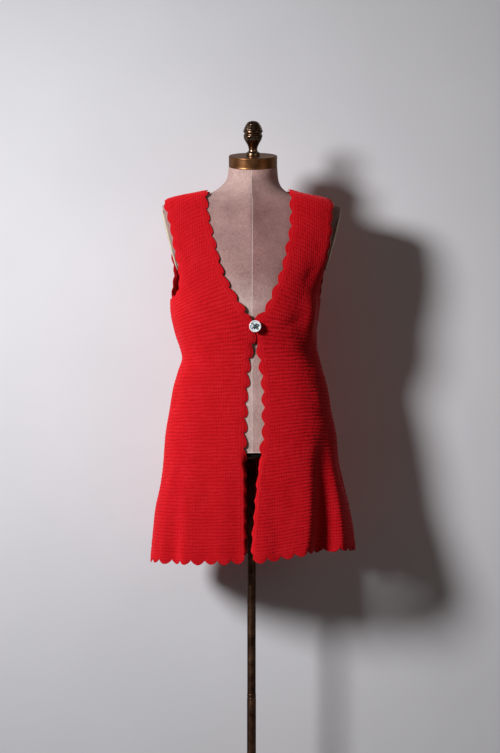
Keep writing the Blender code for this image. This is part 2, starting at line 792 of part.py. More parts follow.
def build_garment():
    """The three panels, the edgings and the button."""
    right = ribbed_panel("right_front", FRONT, RIGHT)
    left = ribbed_panel("left_front", FRONT, LEFT)
    back = ribbed_panel("back", BACK, LEFT)

    right_edge, left_edge = above_hem(right[0]), above_hem(left[0])
    edging("right_front_edging", right_edge, FRONT, RIGHT, 1, RIGHT_FRONT_SHELLS, notch=BUTTON_HEIGHT)
    edging("left_front_edging", left_edge, FRONT, LEFT, -1, LEFT_FRONT_SHELLS)
    edging("back_neck_edging", back[BACK_NECK_COLUMNS, -1], BACK, None, 1, NECK_SHELLS)
    for name, front_line, back_line, outward, shells in (
        ("right_armhole_edging", right[-1], back[0], 1, RIGHT_ARMHOLE_SHELLS),
        ("left_armhole_edging", left[-1], back[-1], -1, LEFT_ARMHOLE_SHELLS),
    ):
        first = 2 * RIBS_BELOW_ARMHOLE
        loop = np.vstack([front_line[first:], back_line[first:][::-1][1:]])
        edging(name, loop, None, None, -outward, shells, closed=True)
    edging("hem_edging", hem_path(right, left, back), None, None, -1, HEM_SHELLS)
    add_button()


def above_hem(line):
    """A front edge's line, started a little above the hem's own edging."""
    return np.vstack([line[0] + (line[1] - line[0]) * ABOVE_HEM, line[1:]])


def hem_path(right, left, back):
    """The hem from the right front's corner, round the back, to the left front's corner."""
    corner = {}
    for side, panel in ((RIGHT, right), (LEFT, left)):
        start = panel[0, 0]
        share = start[0] / VEST.half_width(start[0], start[2])
        reach = HEM_CORNER / VEST.half_width(side, start[2])
        corner[side] = VEST.point(FRONT, share - side * reach, start[2])
    line = [corner[RIGHT]] + [right[i, 0] for i in range(len(right))]
    line += [back[i, 0] for i in range(1, len(back) - 1)]
    line += [left[i, 0] for i in reversed(range(len(left)))] + [corner[LEFT]]
    return np.array(line)


def turned(name, finish, profile, segments, place=None):
    """A solid of revolution about Z, from a profile that runs down its outer side."""
    mesh = bpy.data.meshes.new(name)
    points = [(turn.radius * MM, 0, turn.height * MM) for turn in profile]
    mesh.from_pydata(points, [(i, i + 1) for i in range(len(points) - 1)], [])
    obj = add_object(name, finish, mesh)
    screw = obj.modifiers.new("turn", "SCREW")
    screw.steps = screw.render_steps = segments
    screw.use_merge_vertices = True
    screw.merge_threshold = 0.0001
    screw.use_smooth_shade = True
    if place is not None:
        obj.matrix_world = place
    return obj


def add_button():
    """A round button with a raised rim, and the thread shank that goes through the buttonhole."""
    spot = VEST.point(FRONT, BUTTON_X / VEST.half_width(BUTTON_X, BUTTON_HEIGHT), BUTTON_HEIGHT)
    under = EDGING_THICKNESS + 0.5 - BUTTON_STANDOFF
    profile = [
        Turn(0, BUTTON_THICKNESS - 1.4),
        Turn(BUTTON_RADIUS * 0.62, BUTTON_THICKNESS - 1.2),
        Turn(BUTTON_RADIUS * 0.76, BUTTON_THICKNESS),
        Turn(BUTTON_RADIUS * 0.92, BUTTON_THICKNESS - 0.2),
        Turn(BUTTON_RADIUS, BUTTON_THICKNESS * 0.55),
        Turn(BUTTON_RADIUS * 0.9, 0.4),
        Turn(BUTTON_RADIUS * 0.5, 0),
        Turn(SHANK_RADIUS, 0),
        Turn(SHANK_RADIUS, under),
        Turn(0, under),
    ]
    centre = (spot + VEST.normal(spot, FRONT) * BUTTON_STANDOFF) * MM
    place = Matrix.Translation(centre) @ Matrix.Rotation(math.pi / 2, 4, "X")
    turned("button", "pearl_button", profile, 20, place)


# ---- the dress form and its stand --------------------------------------------------------------------
def arm_plane(height):
    """Where the form is cut flat for the arm plate at this height."""
    return ARM_PLANE_X - (ARM_PLANE_HEIGHT - height) * math.tan(ARM_PLANE_LEAN)


def form_ring(height):
    """One section of the form, cut flat at the arms and tilted towards the neck."""
    ring = []
    tilt = soft_step((height - NECK_TILT_START) / (FORM_TOP - NECK_TILT_START))
    for i in range(FORM_SEGMENTS):
        turn = 2 * math.pi * i / FORM_SEGMENTS
        face = FRONT if math.cos(turn) > 0 else BACK
        point = FORM.point(face, math.sin(turn), height)
        if height > ARM_CUT_START:
            point[0] = max(-arm_plane(height), min(arm_plane(height), point[0]))
        point[2] += point[1] * math.tan(NECK_TILT) * tilt
        ring.append(point)
    return ring


def build_form():
    """The linen torso, its arm plates, neck cap, finial and bottom board."""
    heights = [level.height for level in FORM_SKIN]
    rings = [form_ring(height) for height in heights]
    count = FORM_SEGMENTS
    faces = [tuple(range(count)), tuple(count * (len(rings) - 1) + i for i in range(count))]
    for k in range(len(rings) - 1):
        for i in range(count):
            j = (i + 1) % count
            faces.append((count * k + i, count * k + j, count * (k + 1) + j, count * (k + 1) + i))
    points = [point for ring in rings for point in ring]
    add_object("form_torso", "linen_cover", closed_mesh("form_torso", points, faces), smooth=True)
    for side, name in ((RIGHT, "form_arm_plate_right"), (LEFT, "form_arm_plate_left")):
        add_arm_plate(name, side)
    base = Matrix.Translation((NECK_CENTRE_X * MM, 0, (FORM_TOP + PART_GAP) * MM))
    axis = base @ Matrix.Rotation(NECK_TILT, 4, "X")
    cap = [
        Turn(0, CAP_HEIGHT),
        Turn(CAP_RADIUS - 1.5, CAP_HEIGHT),
        Turn(CAP_RADIUS, CAP_HEIGHT - 1.5),
        Turn(CAP_RADIUS, 0),
        Turn(0, 0),
    ]
    turned("form_neck_cap", "antique_bronze", cap, 32, axis)
    top = axis @ Matrix.Translation((0, 0, (CAP_HEIGHT + PART_GAP) * MM))
    turned("form_finial", "antique_bronze", FINIAL_PROFILE, 14, top)
    add_board()


def add_arm_plate(name, side):
    """An oval plate that closes the arm, lying on the form's flat cut."""
    bpy.ops.mesh.primitive_cylinder_add(vertices=20, radius=1, depth=1)
    obj = bpy.context.object
    obj.data.transform(
        Matrix.Diagonal((ARM_PLATE_HALF_HEIGHT * MM, ARM_PLATE_HALF_WIDTH * MM, ARM_PLATE_THICKNESS * MM, 1))
    )
    out = PART_GAP + ARM_PLATE_THICKNESS / 2
    x = arm_plane(ARM_PLATE_CENTRE_HEIGHT) + out * math.cos(ARM_PLANE_LEAN)
    height = ARM_PLATE_CENTRE_HEIGHT - out * math.sin(ARM_PLANE_LEAN)
    place = Matrix.Translation((side * x * MM, ARM_PLATE_BACK_SHIFT * MM, height * MM))
    obj.data.transform(place @ Matrix.Rotation(side * (math.pi / 2 + ARM_PLANE_LEAN), 4, "Y"))
    mesh = obj.data
    bpy.data.objects.remove(obj)
    plate = add_object(name, "linen_cover", mesh)
    bevel = plate.modifiers.new("edge", "BEVEL")
    bevel.width = 0.0012
    bevel.segments = 1
    bevel.limit_method = "ANGLE"


def add_board():
    """The dark board that closes the form's underside."""
    count = FORM_SEGMENTS
    rim = [point * np.array([BOARD_INSET, BOARD_INSET, 0]) for point in form_ring(FORM_BOTTOM)]
    top, low = FORM_BOTTOM - PART_GAP, FORM_BOTTOM - PART_GAP - BOARD_THICKNESS
    points = [point + np.array([0, 0, top]) for point in rim] + [point + np.array([0, 0, low]) for point in rim]
    faces = [tuple(range(count)), tuple(count + i for i in range(count))]
    faces += [(i, (i + 1) % count, count + (i + 1) % count, count + i) for i in range(count)]
    add_object("form_bottom_board", "dark_board", closed_mesh("form_bottom_board", points, faces))


def rod(name, radius, low, high, segments=20):
    """An upright bronze rod on the axis."""
    turned(name, "antique_bronze", [Turn(0, high), Turn(radius, high), Turn(radius, low), Turn(0, low)], segments)


def build_stand():
    """The pole in two lengths, its flange under the form, and the round foot."""
    under_board = FORM_BOTTOM - 2 * PART_GAP - BOARD_THICKNESS
    rod("stand_flange", FLANGE_RADIUS, under_board - FLANGE_HEIGHT, under_board, 28)
    rod("stand_pole_upper", POLE_UPPER_RADIUS, POLE_JOINT_HEIGHT + PART_GAP, under_board - FLANGE_HEIGHT - PART_GAP)
    rod("stand_pole_lower", POLE_LOWER_RADIUS, FOOT_PROFILE[0].height + PART_GAP, POLE_JOINT_HEIGHT)
    turned("stand_foot", "antique_bronze", FOOT_PROFILE, 28)


def prepare_scene():
    """Clears the scene, then makes the collection and the materials."""
    for obj in list(bpy.data.objects):
        bpy.data.objects.remove(obj)
    collection = bpy.data.collections.new(COLLECTION)
    bpy.context.scene.collection.children.link(collection)
    for name, finish in FINISHES.items():
        material = bpy.data.materials.new(name)
        material.use_nodes = True
        shader = material.node_tree.nodes["Principled BSDF"]
        shader.inputs["Base Color"].default_value = (*finish.colour, 1)
        shader.inputs["Roughness"].default_value = finish.roughness
        shader.inputs["Metallic"].default_value = finish.metallic


def main():
    prepare_scene()
    build_garment()
    build_form()
    build_stand()


main()
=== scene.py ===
"""Dresses a long crocheted vest with scalloped edges, worn by a linen dress form on a bronze pole stand.

Tables and sizes are in millimetres, and meshes in metres. The front faces -Y, and "right" is the wearer's.
The cloth lies on one smooth skin, so the panels, their edgings and the folds come from the same tables.
"""
import logging
import math
from dataclasses import dataclass, field
from enum import Enum
from functools import partial
from typing import Any, Callable, NamedTuple, Sequence

import bmesh
import bpy
import numpy as np
from mathutils import Matrix, Vector


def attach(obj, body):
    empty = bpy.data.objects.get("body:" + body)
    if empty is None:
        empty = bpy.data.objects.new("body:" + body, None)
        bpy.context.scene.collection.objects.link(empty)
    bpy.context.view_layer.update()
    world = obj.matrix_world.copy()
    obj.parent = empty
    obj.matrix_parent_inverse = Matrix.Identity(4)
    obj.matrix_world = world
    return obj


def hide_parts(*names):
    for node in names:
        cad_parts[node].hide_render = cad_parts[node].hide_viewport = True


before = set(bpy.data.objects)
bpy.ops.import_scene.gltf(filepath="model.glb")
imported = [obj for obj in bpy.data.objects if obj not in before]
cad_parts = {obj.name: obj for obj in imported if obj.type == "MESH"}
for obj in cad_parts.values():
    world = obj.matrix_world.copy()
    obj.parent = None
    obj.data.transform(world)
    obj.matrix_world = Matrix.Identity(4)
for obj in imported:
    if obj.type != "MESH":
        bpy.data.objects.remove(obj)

LOG = logging.getLogger("crocheted_vest")
MM = 0.001
Array = np.ndarray


class Face(Enum):
    """The front or the back of the garment, by the sign of Y."""

    FRONT = -1
    BACK = 1


class Side(Enum):
    """The wearer's right or left, by the sign of X."""

    RIGHT = -1
    LEFT = 1


FRONT, BACK = Face.FRONT.value, Face.BACK.value
RIGHT, LEFT = Side.RIGHT.value, Side.LEFT.value

# ---- cloth sizes ---------------------------------------------------------------------------------------
WALL = 2.4
RIB_RELIEF = 1.25
RIBS_BELOW_ARMHOLE = 70
RIBS_ABOVE_ARMHOLE = 32
RIB_PITCH_AT_HEM = 6.6
RIB_PITCH_AT_ARMHOLE = 8.2
ROWS_PER_RIB = 4
ARMHOLE_BASE = 1170.0
SEAM_GAP = 0.35
SQUARENESS = 2.4
SHOULDER_SEARCH = (1386.0, 1435.0)
SHOULDER_BEND_START = 1375.0
UPPER_SAMPLES = 160
SHELF_HEIGHT = 60.0
SHELF_SIDEWAYS = 0.15
CREST_HEIGHT = 80.0
CREST_SIDEWAYS = 0.6
STITCH_WIDTH = 5.0
ROW_WANDER = ((0.1, 17, 0.9), (0.06, 7.3, -1.7))  # in rows, its length along the row, its turn from row to row
INNER_STEP = 4  # the plain inside has one point for this many of the outside's
INNER_OFFSET = 0.2
YARN_UNEVENNESS = 1.1
FLAT_FROM = 1160.0  # the ribs are stretched flat between these heights
FLAT_TO = 1262.0

# ---- shell edging --------------------------------------------------------------------------------------
EDGING_THICKNESS = 2.6
SHELL_VALLEY = 9.5
SHELL_TIP = 17.5
SHELL_ROW = 6.0
EDGE_ROLL = math.radians(85)  # how far the front edgings turn in below the form
EDGE_ROLL_LENGTH = 9.0  # the cloth over which they bend
EDGE_ROLL_TWIST = 3.4  # how far each shell's lower corner turns out of the roll
EDGE_ROLL_START = 872.0
EDGE_ROLL_RISE = 45.0
DRAWN_RISE = 60.0  # the height over which the neck's edging is drawn flatter
SHELL_CHANGE = 0.6  # how much longer or shorter one shell is than the next
SHELL_TURNS = 2.399  # radians from shell to shell that never repeat
LOOP_SPACING = 0.82  # how far apart a chain's loops are, as a share of their length
HEM_CORNER = 6.0  # how far the hem's edging runs past the front panels

# ---- the form and its stand ----------------------------------------------------------------------------
PIECE_GAP = 0.3
BOARD_THICKNESS = 8.0

# ---- the button ----------------------------------------------------------------------------------------
BUTTON_X = 7.4
BUTTON_HEIGHT = 1125.5
BUTTON_RADIUS = 12.6
BUTTON_THICKNESS = 4.6
BUTTON_STANDOFF = 10.0
BUTTONHOLE_HALF_LENGTH = 9.0
BUTTONHOLE_REACH = 12.0
OVERLAP_LIFT = 4.6
OVERLAP_REACH = 85.0


def table(kind: type, *rows: Sequence[float]) -> list[Any]:
    """A table whose columns are the named fields of a kind of row."""
    return [kind(*row) for row in rows]


class Level(NamedTuple):
    """One section of a skin: its reach from the pole's axis in four directions."""

    height: float
    right: float
    left: float
    front: float
    back: float


VEST_SKIN = table(
    Level,
    (590, 218, 227, 153, 148), (630, 213.5, 222.5, 150, 145), (690, 208, 216, 144.5, 138),
    (740, 203, 207, 138, 133), (790, 193, 195, 131, 128), (840, 186, 184, 123.5, 124),
    (892, 182, 179.5, 116.5, 120), (944, 173.5, 169, 112.5, 115), (995, 165, 160.5, 108.5, 110),
    (1030, 155, 151, 107.5, 105), (1060, 146, 143, 109, 101), (1086, 152, 137.5, 114, 100),
    (1111, 160.5, 137, 122, 101), (1163, 171, 143, 133, 105), (1184, 172, 146, 133, 107),
    (1230, 178, 160, 127, 112), (1286, 192, 180, 110, 116), (1343, 202, 198, 90, 111), (1375, 204, 199, 78, 101),
    (1386, 199, 191, 74, 97), (1393, 191, 180, 71, 94), (1400, 177, 160, 67, 90), (1405, 157, 136, 65, 87),
    (1410, 130, 112, 63, 84), (1416, 101, 92, 62, 80), (1422, 84, 76, 60, 76), (1436, 66, 62, 58, 70),
)

FORM_SKIN = table(
    Level,
    (861.5, 150, 150, 113, 112), (900, 151, 151, 113.5, 114), (935, 146, 146, 111.8, 110), (970, 128, 128, 109, 93),
    (1010, 114, 114, 106, 79), (1050, 114, 114, 106.2, 78), (1090, 119, 119, 113, 84), (1130, 128, 128, 123.6, 91),
    (1167, 135, 135, 131, 96), (1230, 147, 146, 124.2, 105), (1262, 164, 162, 115.8, 108),
    (1295, 183, 180, 105.2, 108), (1330, 197, 193, 92.4, 105), (1360, 205, 201, 81.2, 97), (1376, 206, 200, 75, 91),
    (1385, 197, 190, 70, 87), (1391, 176, 162, 67, 84), (1397, 152, 134, 65, 81), (1403, 120, 104, 62.5, 77),
    (1410, 95, 87, 60, 73), (1418, 79, 73, 58, 70), (1430, 64, 62, 54, 65), (1446, 52, 57, 53, 60),
    (1471, 48.5, 54.9, 51.5, 52),
)


class Edge(NamedTuple):
    """How far each front panel's edge lies from the centre line at a height, towards its own side."""

    height: float
    right: float
    left: float


FRONT_EDGES = table(
    Edge,
    (600, 22, 9), (670, 21, 9), (724, 21, 13), (772, 21, 17), (815, 21, 21.5), (861, 26.5, 32), (905, 26, 37),
    (960, 24, 37.5), (1011, 21, 35), (1045, 18, 31), (1085, 10.5, 23.5), (1104, 7.5, 20), (1126, 7.5, 19),
    (1138, 15, 28), (1150, 26, 38), (1176, 42.5, 51), (1198, 55.5, 60.5), (1231, 72, 73), (1262, 81, 81),
    (1290, 88, 87), (1316, 95, 92), (1345, 101, 95), (1373, 106, 96), (1393, 108, 95), (1416, 108, 94),
)


class Armhole(NamedTuple):
    """The share of the skin's half-width that each panel covers beside the armhole."""

    height: float
    front_right: float
    front_left: float
    back_right: float
    back_left: float


ARMHOLE_EDGES = table(
    Armhole,
    (1170, 1.0, 1.0, 1.0, 1.0), (1175, 0.955, 0.975, 0.985, 0.985), (1184, 0.89, 0.945, 0.97, 0.975),
    (1200, 0.83, 0.915, 0.955, 0.96), (1223, 0.80, 0.88, 0.92, 0.93), (1250, 0.785, 0.85, 0.88, 0.885),
    (1304, 0.785, 0.808, 0.85, 0.83), (1343, 0.798, 0.785, 0.832, 0.80), (1375, 0.83, 0.806, 0.843, 0.82),
    (1390, 0.882, 0.855, 0.885, 0.858),
)
SHOULDER_TIP = {RIGHT: 172.0, LEFT: 157.0}
BACK_NECK_DROP = 16.0
BACK_NECK_FLATNESS = 4.0


class Hem(NamedTuple):
    """The hem's height in one direction: 0 is the front, 90 the wearer's left."""

    angle: float
    height: float


HEM_LINE = table(
    Hem,
    (-180, 638), (-135, 637), (-90, 643), (-45, 650), (-8, 655), (8, 659), (28, 670), (42, 675), (62, 673),
    (90, 665), (135, 648), (180, 638),
)


class Fold(NamedTuple):
    """A fold that grows down to the hem, a valley where its depth is negative. lean is its degrees per metre up."""

    angle: float
    half_width: float
    depth: float
    starts_at: float
    lean: float = 0


FOLDS = table(
    Fold,
    (41, 7.0, -36, 915, 50), (31, 9.0, 5, 880, 50), (54, 9.0, 5, 880, 50), (2.5, 6.0, 15, 860), (-4, 8.0, -16, 850),
    (-26, 9.0, -7, 980), (-38, 7.0, 5, 900), (-48, 5.5, -12, 790), (-66, 12.0, 5, 880), (122, 9.0, -14, 930),
    (148, 12.0, 7, 940), (172, 9.0, -11, 900), (-165, 11.0, 6, 900), (-145, 8.0, -14, 950), (-125, 12.0, 6, 900),
)


class Crease(NamedTuple):
    """A soft ridge between two places, each a direction and a height, or a trough where its depth is negative."""

    angle: float
    height: float
    to_angle: float
    to_height: float
    width: float
    depth: float


CREASES = table(
    Crease,
    (-12, 1118, -62, 1150, 11, -1.5), (-14, 1098, -58, 1092, 13, 1.4), (-70, 1062, -35, 1040, 10, -1.8),
    (-78, 1020, -45, 1006, 12, 1.5), (-60, 1010, -72, 930, 14, -1.6), (16, 1112, 55, 1150, 12, -1.5),
    (20, 1090, 60, 1080, 12, 1.5), (78, 1085, 44, 1060, 10, -1.9), (74, 1040, 48, 1020, 12, 1.6),
    (58, 1400, 57, 1150, 21, 6.0), (55, 1240, 58, 1050, 24, 7.0), (47, 1250, 57, 1060, 24, 4.0),
    (50, 1010, 60, 930, 14, 1.6), (-56, 1260, -40, 1180, 13, 1.6), (52, 1270, 40, 1190, 13, -1.5),
    (-20, 900, -14, 700, 13, 2.0), (-56, 880, -60, 720, 12, 2.0), (22, 840, 26, 700, 12, -2.0),
    (75, 900, 82, 700, 13, -2.4), (-84, 870, -88, 700, 13, -2.2), (-152, 1210, -120, 1150, 13, -1.8),
    (150, 1230, 122, 1160, 14, 1.8), (165, 1100, 118, 1070, 11, -2.0), (-160, 1085, -112, 1062, 12, 2.0),
    (178, 1040, 130, 1020, 12, 1.7), (-170, 1010, -125, 1028, 11, -1.7), (135, 1290, 150, 1220, 13, -1.5),
    (-136, 1300, -152, 1230, 13, 1.6),
)


class Tilt(NamedTuple):
    """How steeply the rows of the fronts rise towards the centre at a height."""

    height: float
    slope: float


ROW_TILT = table(
    Tilt,
    (600, 0.0), (1050, 0.02), (1125, 0.17), (1180, 0.30), (1240, 0.36), (1300, 0.30), (1420, 0.18),
)
TILT_CENTRE = 90.0  # the distance from the centre line where a tilted row keeps its height


class FrontColumn(NamedTuple):
    """A line up a front panel: its share of the turn below, and of the shoulder above."""

    turn: float
    shoulder: float


LEFT_FRONT_COLUMNS = table(
    FrontColumn,
    (0.0, 0.0), (0.2, 0.2), (0.375, 0.38), (0.5, 0.55), (0.645, 0.7), (0.82, 0.85), (1.0, 1.0),
)
RIGHT_FRONT_COLUMNS = table(
    FrontColumn,
    (0.0, 0.0), (0.21, 0.25), (0.36, 0.45), (0.48, 0.63), (0.70, 0.82), (1.0, 1.0),
)


class BackColumn(NamedTuple):
    """A line up the back: its direction below, going round by the back, and its X on the shoulder."""

    angle: float
    shoulder: float


BACK_COLUMNS = table(
    BackColumn,
    (-90, -172), (-112, -137), (-130, -108), (-145, -92), (-165, -40), (-188, 14), (-210, 62), (-224, 82),
    (-238, 94), (-254, 124), (-270, 157),
)


# ---- small tools ---------------------------------------------------------------------------------------
def soft_step(t: Array) -> Array:
    """0 below 0 and 1 above 1, with level ends."""
    t = np.clip(t, 0.0, 1.0)
    return t * t * (3 - 2 * t)


def soft_bump(t: Array) -> Array:
    """1 at 0, falling to 0 at -1 and at 1."""
    return 0.5 * (1 + np.cos(np.pi * np.minimum(np.abs(t), 1.0)))


def linear(colour: str) -> tuple[float, float, float, float]:
    """Turns an sRGB hex value into Blender's linear colour.

    Args:
        colour: six hex digits after a hash sign.

    Returns:
        Linear red, green and blue, and an alpha of 1.
    """
    parts = [int(colour[i : i + 2], 16) / 255 for i in (1, 3, 5)]
    turned = [c / 12.92 if c <= 0.04045 else ((c + 0.055) / 1.055) ** 2.4 for c in parts]
    return (*turned, 1.0)


class MonotoneCurve:
    """A smooth curve through table points that never overshoots them."""

    def __init__(self, xs: Sequence[float], ys: Sequence[float]) -> None:
        """Works out the slope at each point."""
        self.xs, self.ys = np.asarray(xs, float), np.asarray(ys, float)
        self.step = np.diff(self.xs)
        slope = np.diff(self.ys) / self.step
        self.tangent = np.zeros(len(self.xs))
        self.tangent[0], self.tangent[-1] = slope[0], slope[-1]
        for i in range(1, len(self.xs) - 1):
            if slope[i - 1] * slope[i] > 0:
                before = 2 * self.step[i] + self.step[i - 1]
                after = self.step[i] + 2 * self.step[i - 1]
                self.tangent[i] = (before + after) / (before / slope[i - 1] + after / slope[i])

    def __call__(self, x: Any) -> Array:
        """The curve's value at x, held level beyond its ends."""
        x = np.clip(np.asarray(x, float), self.xs[0], self.xs[-1])
        i = np.clip(np.searchsorted(self.xs, x, side="right") - 1, 0, len(self.xs) - 2)
        step = self.step[i]
        t = (x - self.xs[i]) / step
        return (
            self.ys[i] * (1 + 2 * t) * (1 - t) ** 2
            + self.tangent[i] * step * t * (1 - t) ** 2
            + self.ys[i + 1] * t * t * (3 - 2 * t)
            + self.tangent[i + 1] * step * t * t * (t - 1)
        )


def column_of(rows: Sequence[Any], key: str, name: str) -> MonotoneCurve:
    """A smooth function of one column of a table, by another."""
    return MonotoneCurve([getattr(row, key) for row in rows], [getattr(row, name) for row in rows])


class Skin:
    """A closed oval at every height, squared a little, with its own reach in four directions."""

    def __init__(self, levels: Sequence[Level]) -> None:
        """Makes one smooth curve for each direction of reach."""
        reaches = (column_of(levels, "height", name) for name in Level._fields[1:])
        self.right, self.left, self.front, self.back = reaches

    def half_width(self, x: Array, height: Array) -> Array:
        """The reach to the side on which x lies."""
        return np.where(np.asarray(x) >= 0, self.left(height), self.right(height))

    def depth(self, face: Any, height: Array) -> Array:
        """The reach to the front or the back."""
        return np.where(np.asarray(face) < 0, self.front(height), self.back(height))

    def point(self, face: Any, share: Array, height: Array) -> Array:
        """Points of the skin, from their share of the half-width (-1 right to 1 left) and their height."""
        share, height = np.broadcast_arrays(np.asarray(share, float), np.asarray(height, float))
        bow = np.maximum(0.0, 1 - np.abs(share) ** SQUARENESS)
        x = share * self.half_width(share, height)
        y = face * self.depth(face, height) * np.sqrt(bow)
        return np.stack([x, y, height], axis=-1)

    def normal(self, points: Array, face: Any) -> Array:
        """The outward normals, from the slope of the oval and from how it widens with height."""
        x, y, height = points[..., 0], points[..., 1], points[..., 2]
        rise = 0.5
        width, depth = self.half_width(x, height), self.depth(face, height)
        width_slope = (self.half_width(x, height + rise) - self.half_width(x, height - rise)) / (2 * rise)
        depth_slope = (self.depth(face, height + rise) - self.depth(face, height - rise)) / (2 * rise)
        share = np.minimum(np.abs(x) / width, 1.0)
        across = SQUARENESS * share ** (SQUARENESS - 1) / width
        slope = -across * share * width_slope - 2 * y * y * depth_slope / depth**3
        gradient = np.stack([np.copysign(across, x), 2 * y / depth**2, slope], axis=-1)
        return unit(gradient)

    def closing_height(self, x: Any) -> Array:
        """Where the skin closes over the shoulder at this distance from the middle."""
        x = np.asarray(x, float)
        low, high = np.full(x.shape, SHOULDER_SEARCH[0]), np.full(x.shape, SHOULDER_SEARCH[1])
        for _ in range(40):
            middle = (low + high) / 2
            inside = self.half_width(x, middle) > np.abs(x)
            low, high = np.where(inside, middle, low), np.where(inside, high, middle)
        return low

    def pull_onto(self, points: Array, face: Any) -> Array:
        """Moves points along the normal until they lie on the skin."""
        for _ in range(6):
            x, y, height = points[..., 0], points[..., 1], points[..., 2]
            width, depth = self.half_width(x, height), self.depth(face, height)
            share = np.abs(x) / width
            level = share**SQUARENESS + (y / depth) ** 2 - 1
            normal = self.normal(points, face)
            steepness = np.hypot(SQUARENESS * share ** (SQUARENESS - 1) / width, 2 * y / depth**2)
            steepness /= np.maximum(np.hypot(normal[..., 0], normal[..., 1]), 1e-6)
            points = points - normal * (level / np.maximum(steepness, 1e-6))[..., None]
        return points


class Drape:
    """How the worn cloth leaves the smooth skin: folds, creases and the overlap at the button."""

    def __init__(self, skin: Skin) -> None:
        """Keeps the skin and the hem's curve."""
        self.skin = skin
        self.hem = column_of(HEM_LINE, "angle", "height")

    def direction(self, points: Array) -> Array:
        """Degrees round the body: 0 at the front, 90 at the wearer's left, 180 at the back."""
        x, y, height = points[..., 0], points[..., 1], points[..., 2]
        across = x / self.skin.half_width(x, height)
        along = -y / self.skin.depth(y, height)
        return np.degrees(np.arctan2(across, along))

    def folds(self, points: Array) -> Array:
        """How far the folds push the cloth out."""
        angle, height = self.direction(points), points[..., 2]
        total = np.zeros(height.shape)
        for fold in FOLDS:
            lean = fold.lean * (height - HEM_LINE[0].height) * MM
            turn = (angle - fold.angle - lean + 180) % 360 - 180
            drop = np.clip((fold.starts_at - height) / (fold.starts_at - HEM_LINE[0].height), 0.0, 1.1)
            total += fold.depth * drop**1.2 * soft_bump(turn / (2 * fold.half_width))
        return total

    def creases(self, points: Array) -> Array:
        """How far the soft creases push the cloth out."""
        angle, height = self.direction(points), points[..., 2]
        girth = 2.6  # mm along the body for a degree
        total = np.zeros(height.shape)
        for crease in CREASES:
            start = np.array([0.0, crease.height])
            run = np.array([(crease.to_angle - crease.angle) * girth, crease.to_height - crease.height])
            here = np.stack([((angle - crease.angle + 180) % 360 - 180) * girth, height], axis=-1) - start
            along = (here @ run) / (run @ run)
            off = here - np.clip(along, 0, 1)[..., None] * run
            away = np.linalg.norm(off, axis=-1)
            taper = soft_bump(1.15 * (np.clip(along, 0, 1) * 2 - 1))
            total += crease.depth * taper * np.exp(-((away / crease.width) ** 2))
        return total

    def overlap(self, points: Array, side: int) -> Array:
        """How far the right front rises over the left front around the button."""
        if side != RIGHT:
            return np.zeros(points.shape[:-1])
        away = np.hypot(points[..., 0] - BUTTON_X, points[..., 2] - BUTTON_HEIGHT)
        lift = OVERLAP_LIFT * soft_step(1.6 * (1 - away / OVERLAP_REACH))
        return np.where(points[..., 1] > 0, 0.0, lift)

    def out(self, points: Array, face: Any, side: int, offset: Any) -> Array:
        """Points of the skin moved out by the folds, the creases, the overlap and an offset."""
        reach = offset + self.folds(points) + self.overlap(points, side) + self.creases(points)
        return points + self.skin.normal(points, face) * np.asarray(reach)[..., None]


VEST = Skin(VEST_SKIN)
FORM = Skin(FORM_SKIN)
DRAPE = Drape(VEST)
EDGE_AT = {side: column_of(FRONT_EDGES, "height", name) for side, name in ((RIGHT, "right"), (LEFT, "left"))}
ARMHOLE_AT = {
    (face, side): column_of(ARMHOLE_EDGES, "height", f"{start}_{end}")
    for face, start in ((FRONT, "front"), (BACK, "back"))
    for side, end in ((RIGHT, "right"), (LEFT, "left"))
}


def unit(vectors: Array) -> Array:
    """The same directions, each 1 long."""
    return vectors / np.linalg.norm(vectors, axis=-1, keepdims=True)


def circle(count: int) -> Array:
    """Evenly spaced angles, once round."""
    return np.linspace(0, 2 * np.pi, count, endpoint=False)


def steps(path: Array) -> Array:
    """The distance from each point of a path to the next."""
    return np.linalg.norm(np.diff(path, axis=0), axis=-1)


def at_marks(wanted: Array, marks: Array, values: Array) -> Array:
    """Vectors at wanted distances along a path, from its own vectors at its marks."""
    return np.stack([np.interp(wanted, marks, values[:, axis]) for axis in range(3)], axis=1)


def off_seam(points: Array, face: int) -> Array:
    """Moves points off the seam between front and back, to leave its gap."""
    points[..., 1] = face * np.maximum(face * points[..., 1], SEAM_GAP / 4)
    return points


def stretched(height: Array) -> Array:
    """How flat the ribs are stretched at a height: 0 is not at all and 1 is the most."""
    return soft_step((height - FLAT_FROM) / (FLAT_TO - FLAT_FROM))


def spaced(path: Array, count: int, weight: Any = 1.0) -> Array:
    """count + 1 points at even distances along a path.

    Args:
        path: the path's points.
        count: how many steps to make.
        weight: how much a level move counts, for the whole path or for each of its steps.

    Returns:
        The evenly placed points.
    """
    x, y, z = np.diff(path, axis=0).T
    marks = np.concatenate([[0], np.cumsum(np.hypot(z, weight * np.hypot(x, y)))])
    return at_marks(np.linspace(0, marks[-1], count + 1), marks, path)


def make_mesh(name: str, points: Array, faces: Sequence[Sequence[int]]) -> bpy.types.Mesh:
    """A smooth closed mesh, in metres, from points in millimetres.

    Args:
        name: the mesh's name.
        points: its points in millimetres.
        faces: its faces, as point numbers, in any sense of turn.

    Returns:
        The mesh, with its faces turned outwards.
    """
    mesh = bpy.data.meshes.new(name)
    mesh.from_pydata((np.asarray(points) * MM).tolist(), [], [list(map(int, face)) for face in faces])
    work = bmesh.new()
    work.from_mesh(mesh)
    bmesh.ops.recalc_face_normals(work, faces=work.faces)
    work.to_mesh(mesh)
    work.free()
    mesh.shade_smooth()
    return mesh


def link_object(name: str, data: Any) -> bpy.types.Object:
    """A new object in the scene, at the origin."""
    made = bpy.data.objects.new(name, data)
    bpy.context.scene.collection.objects.link(made)
    return made


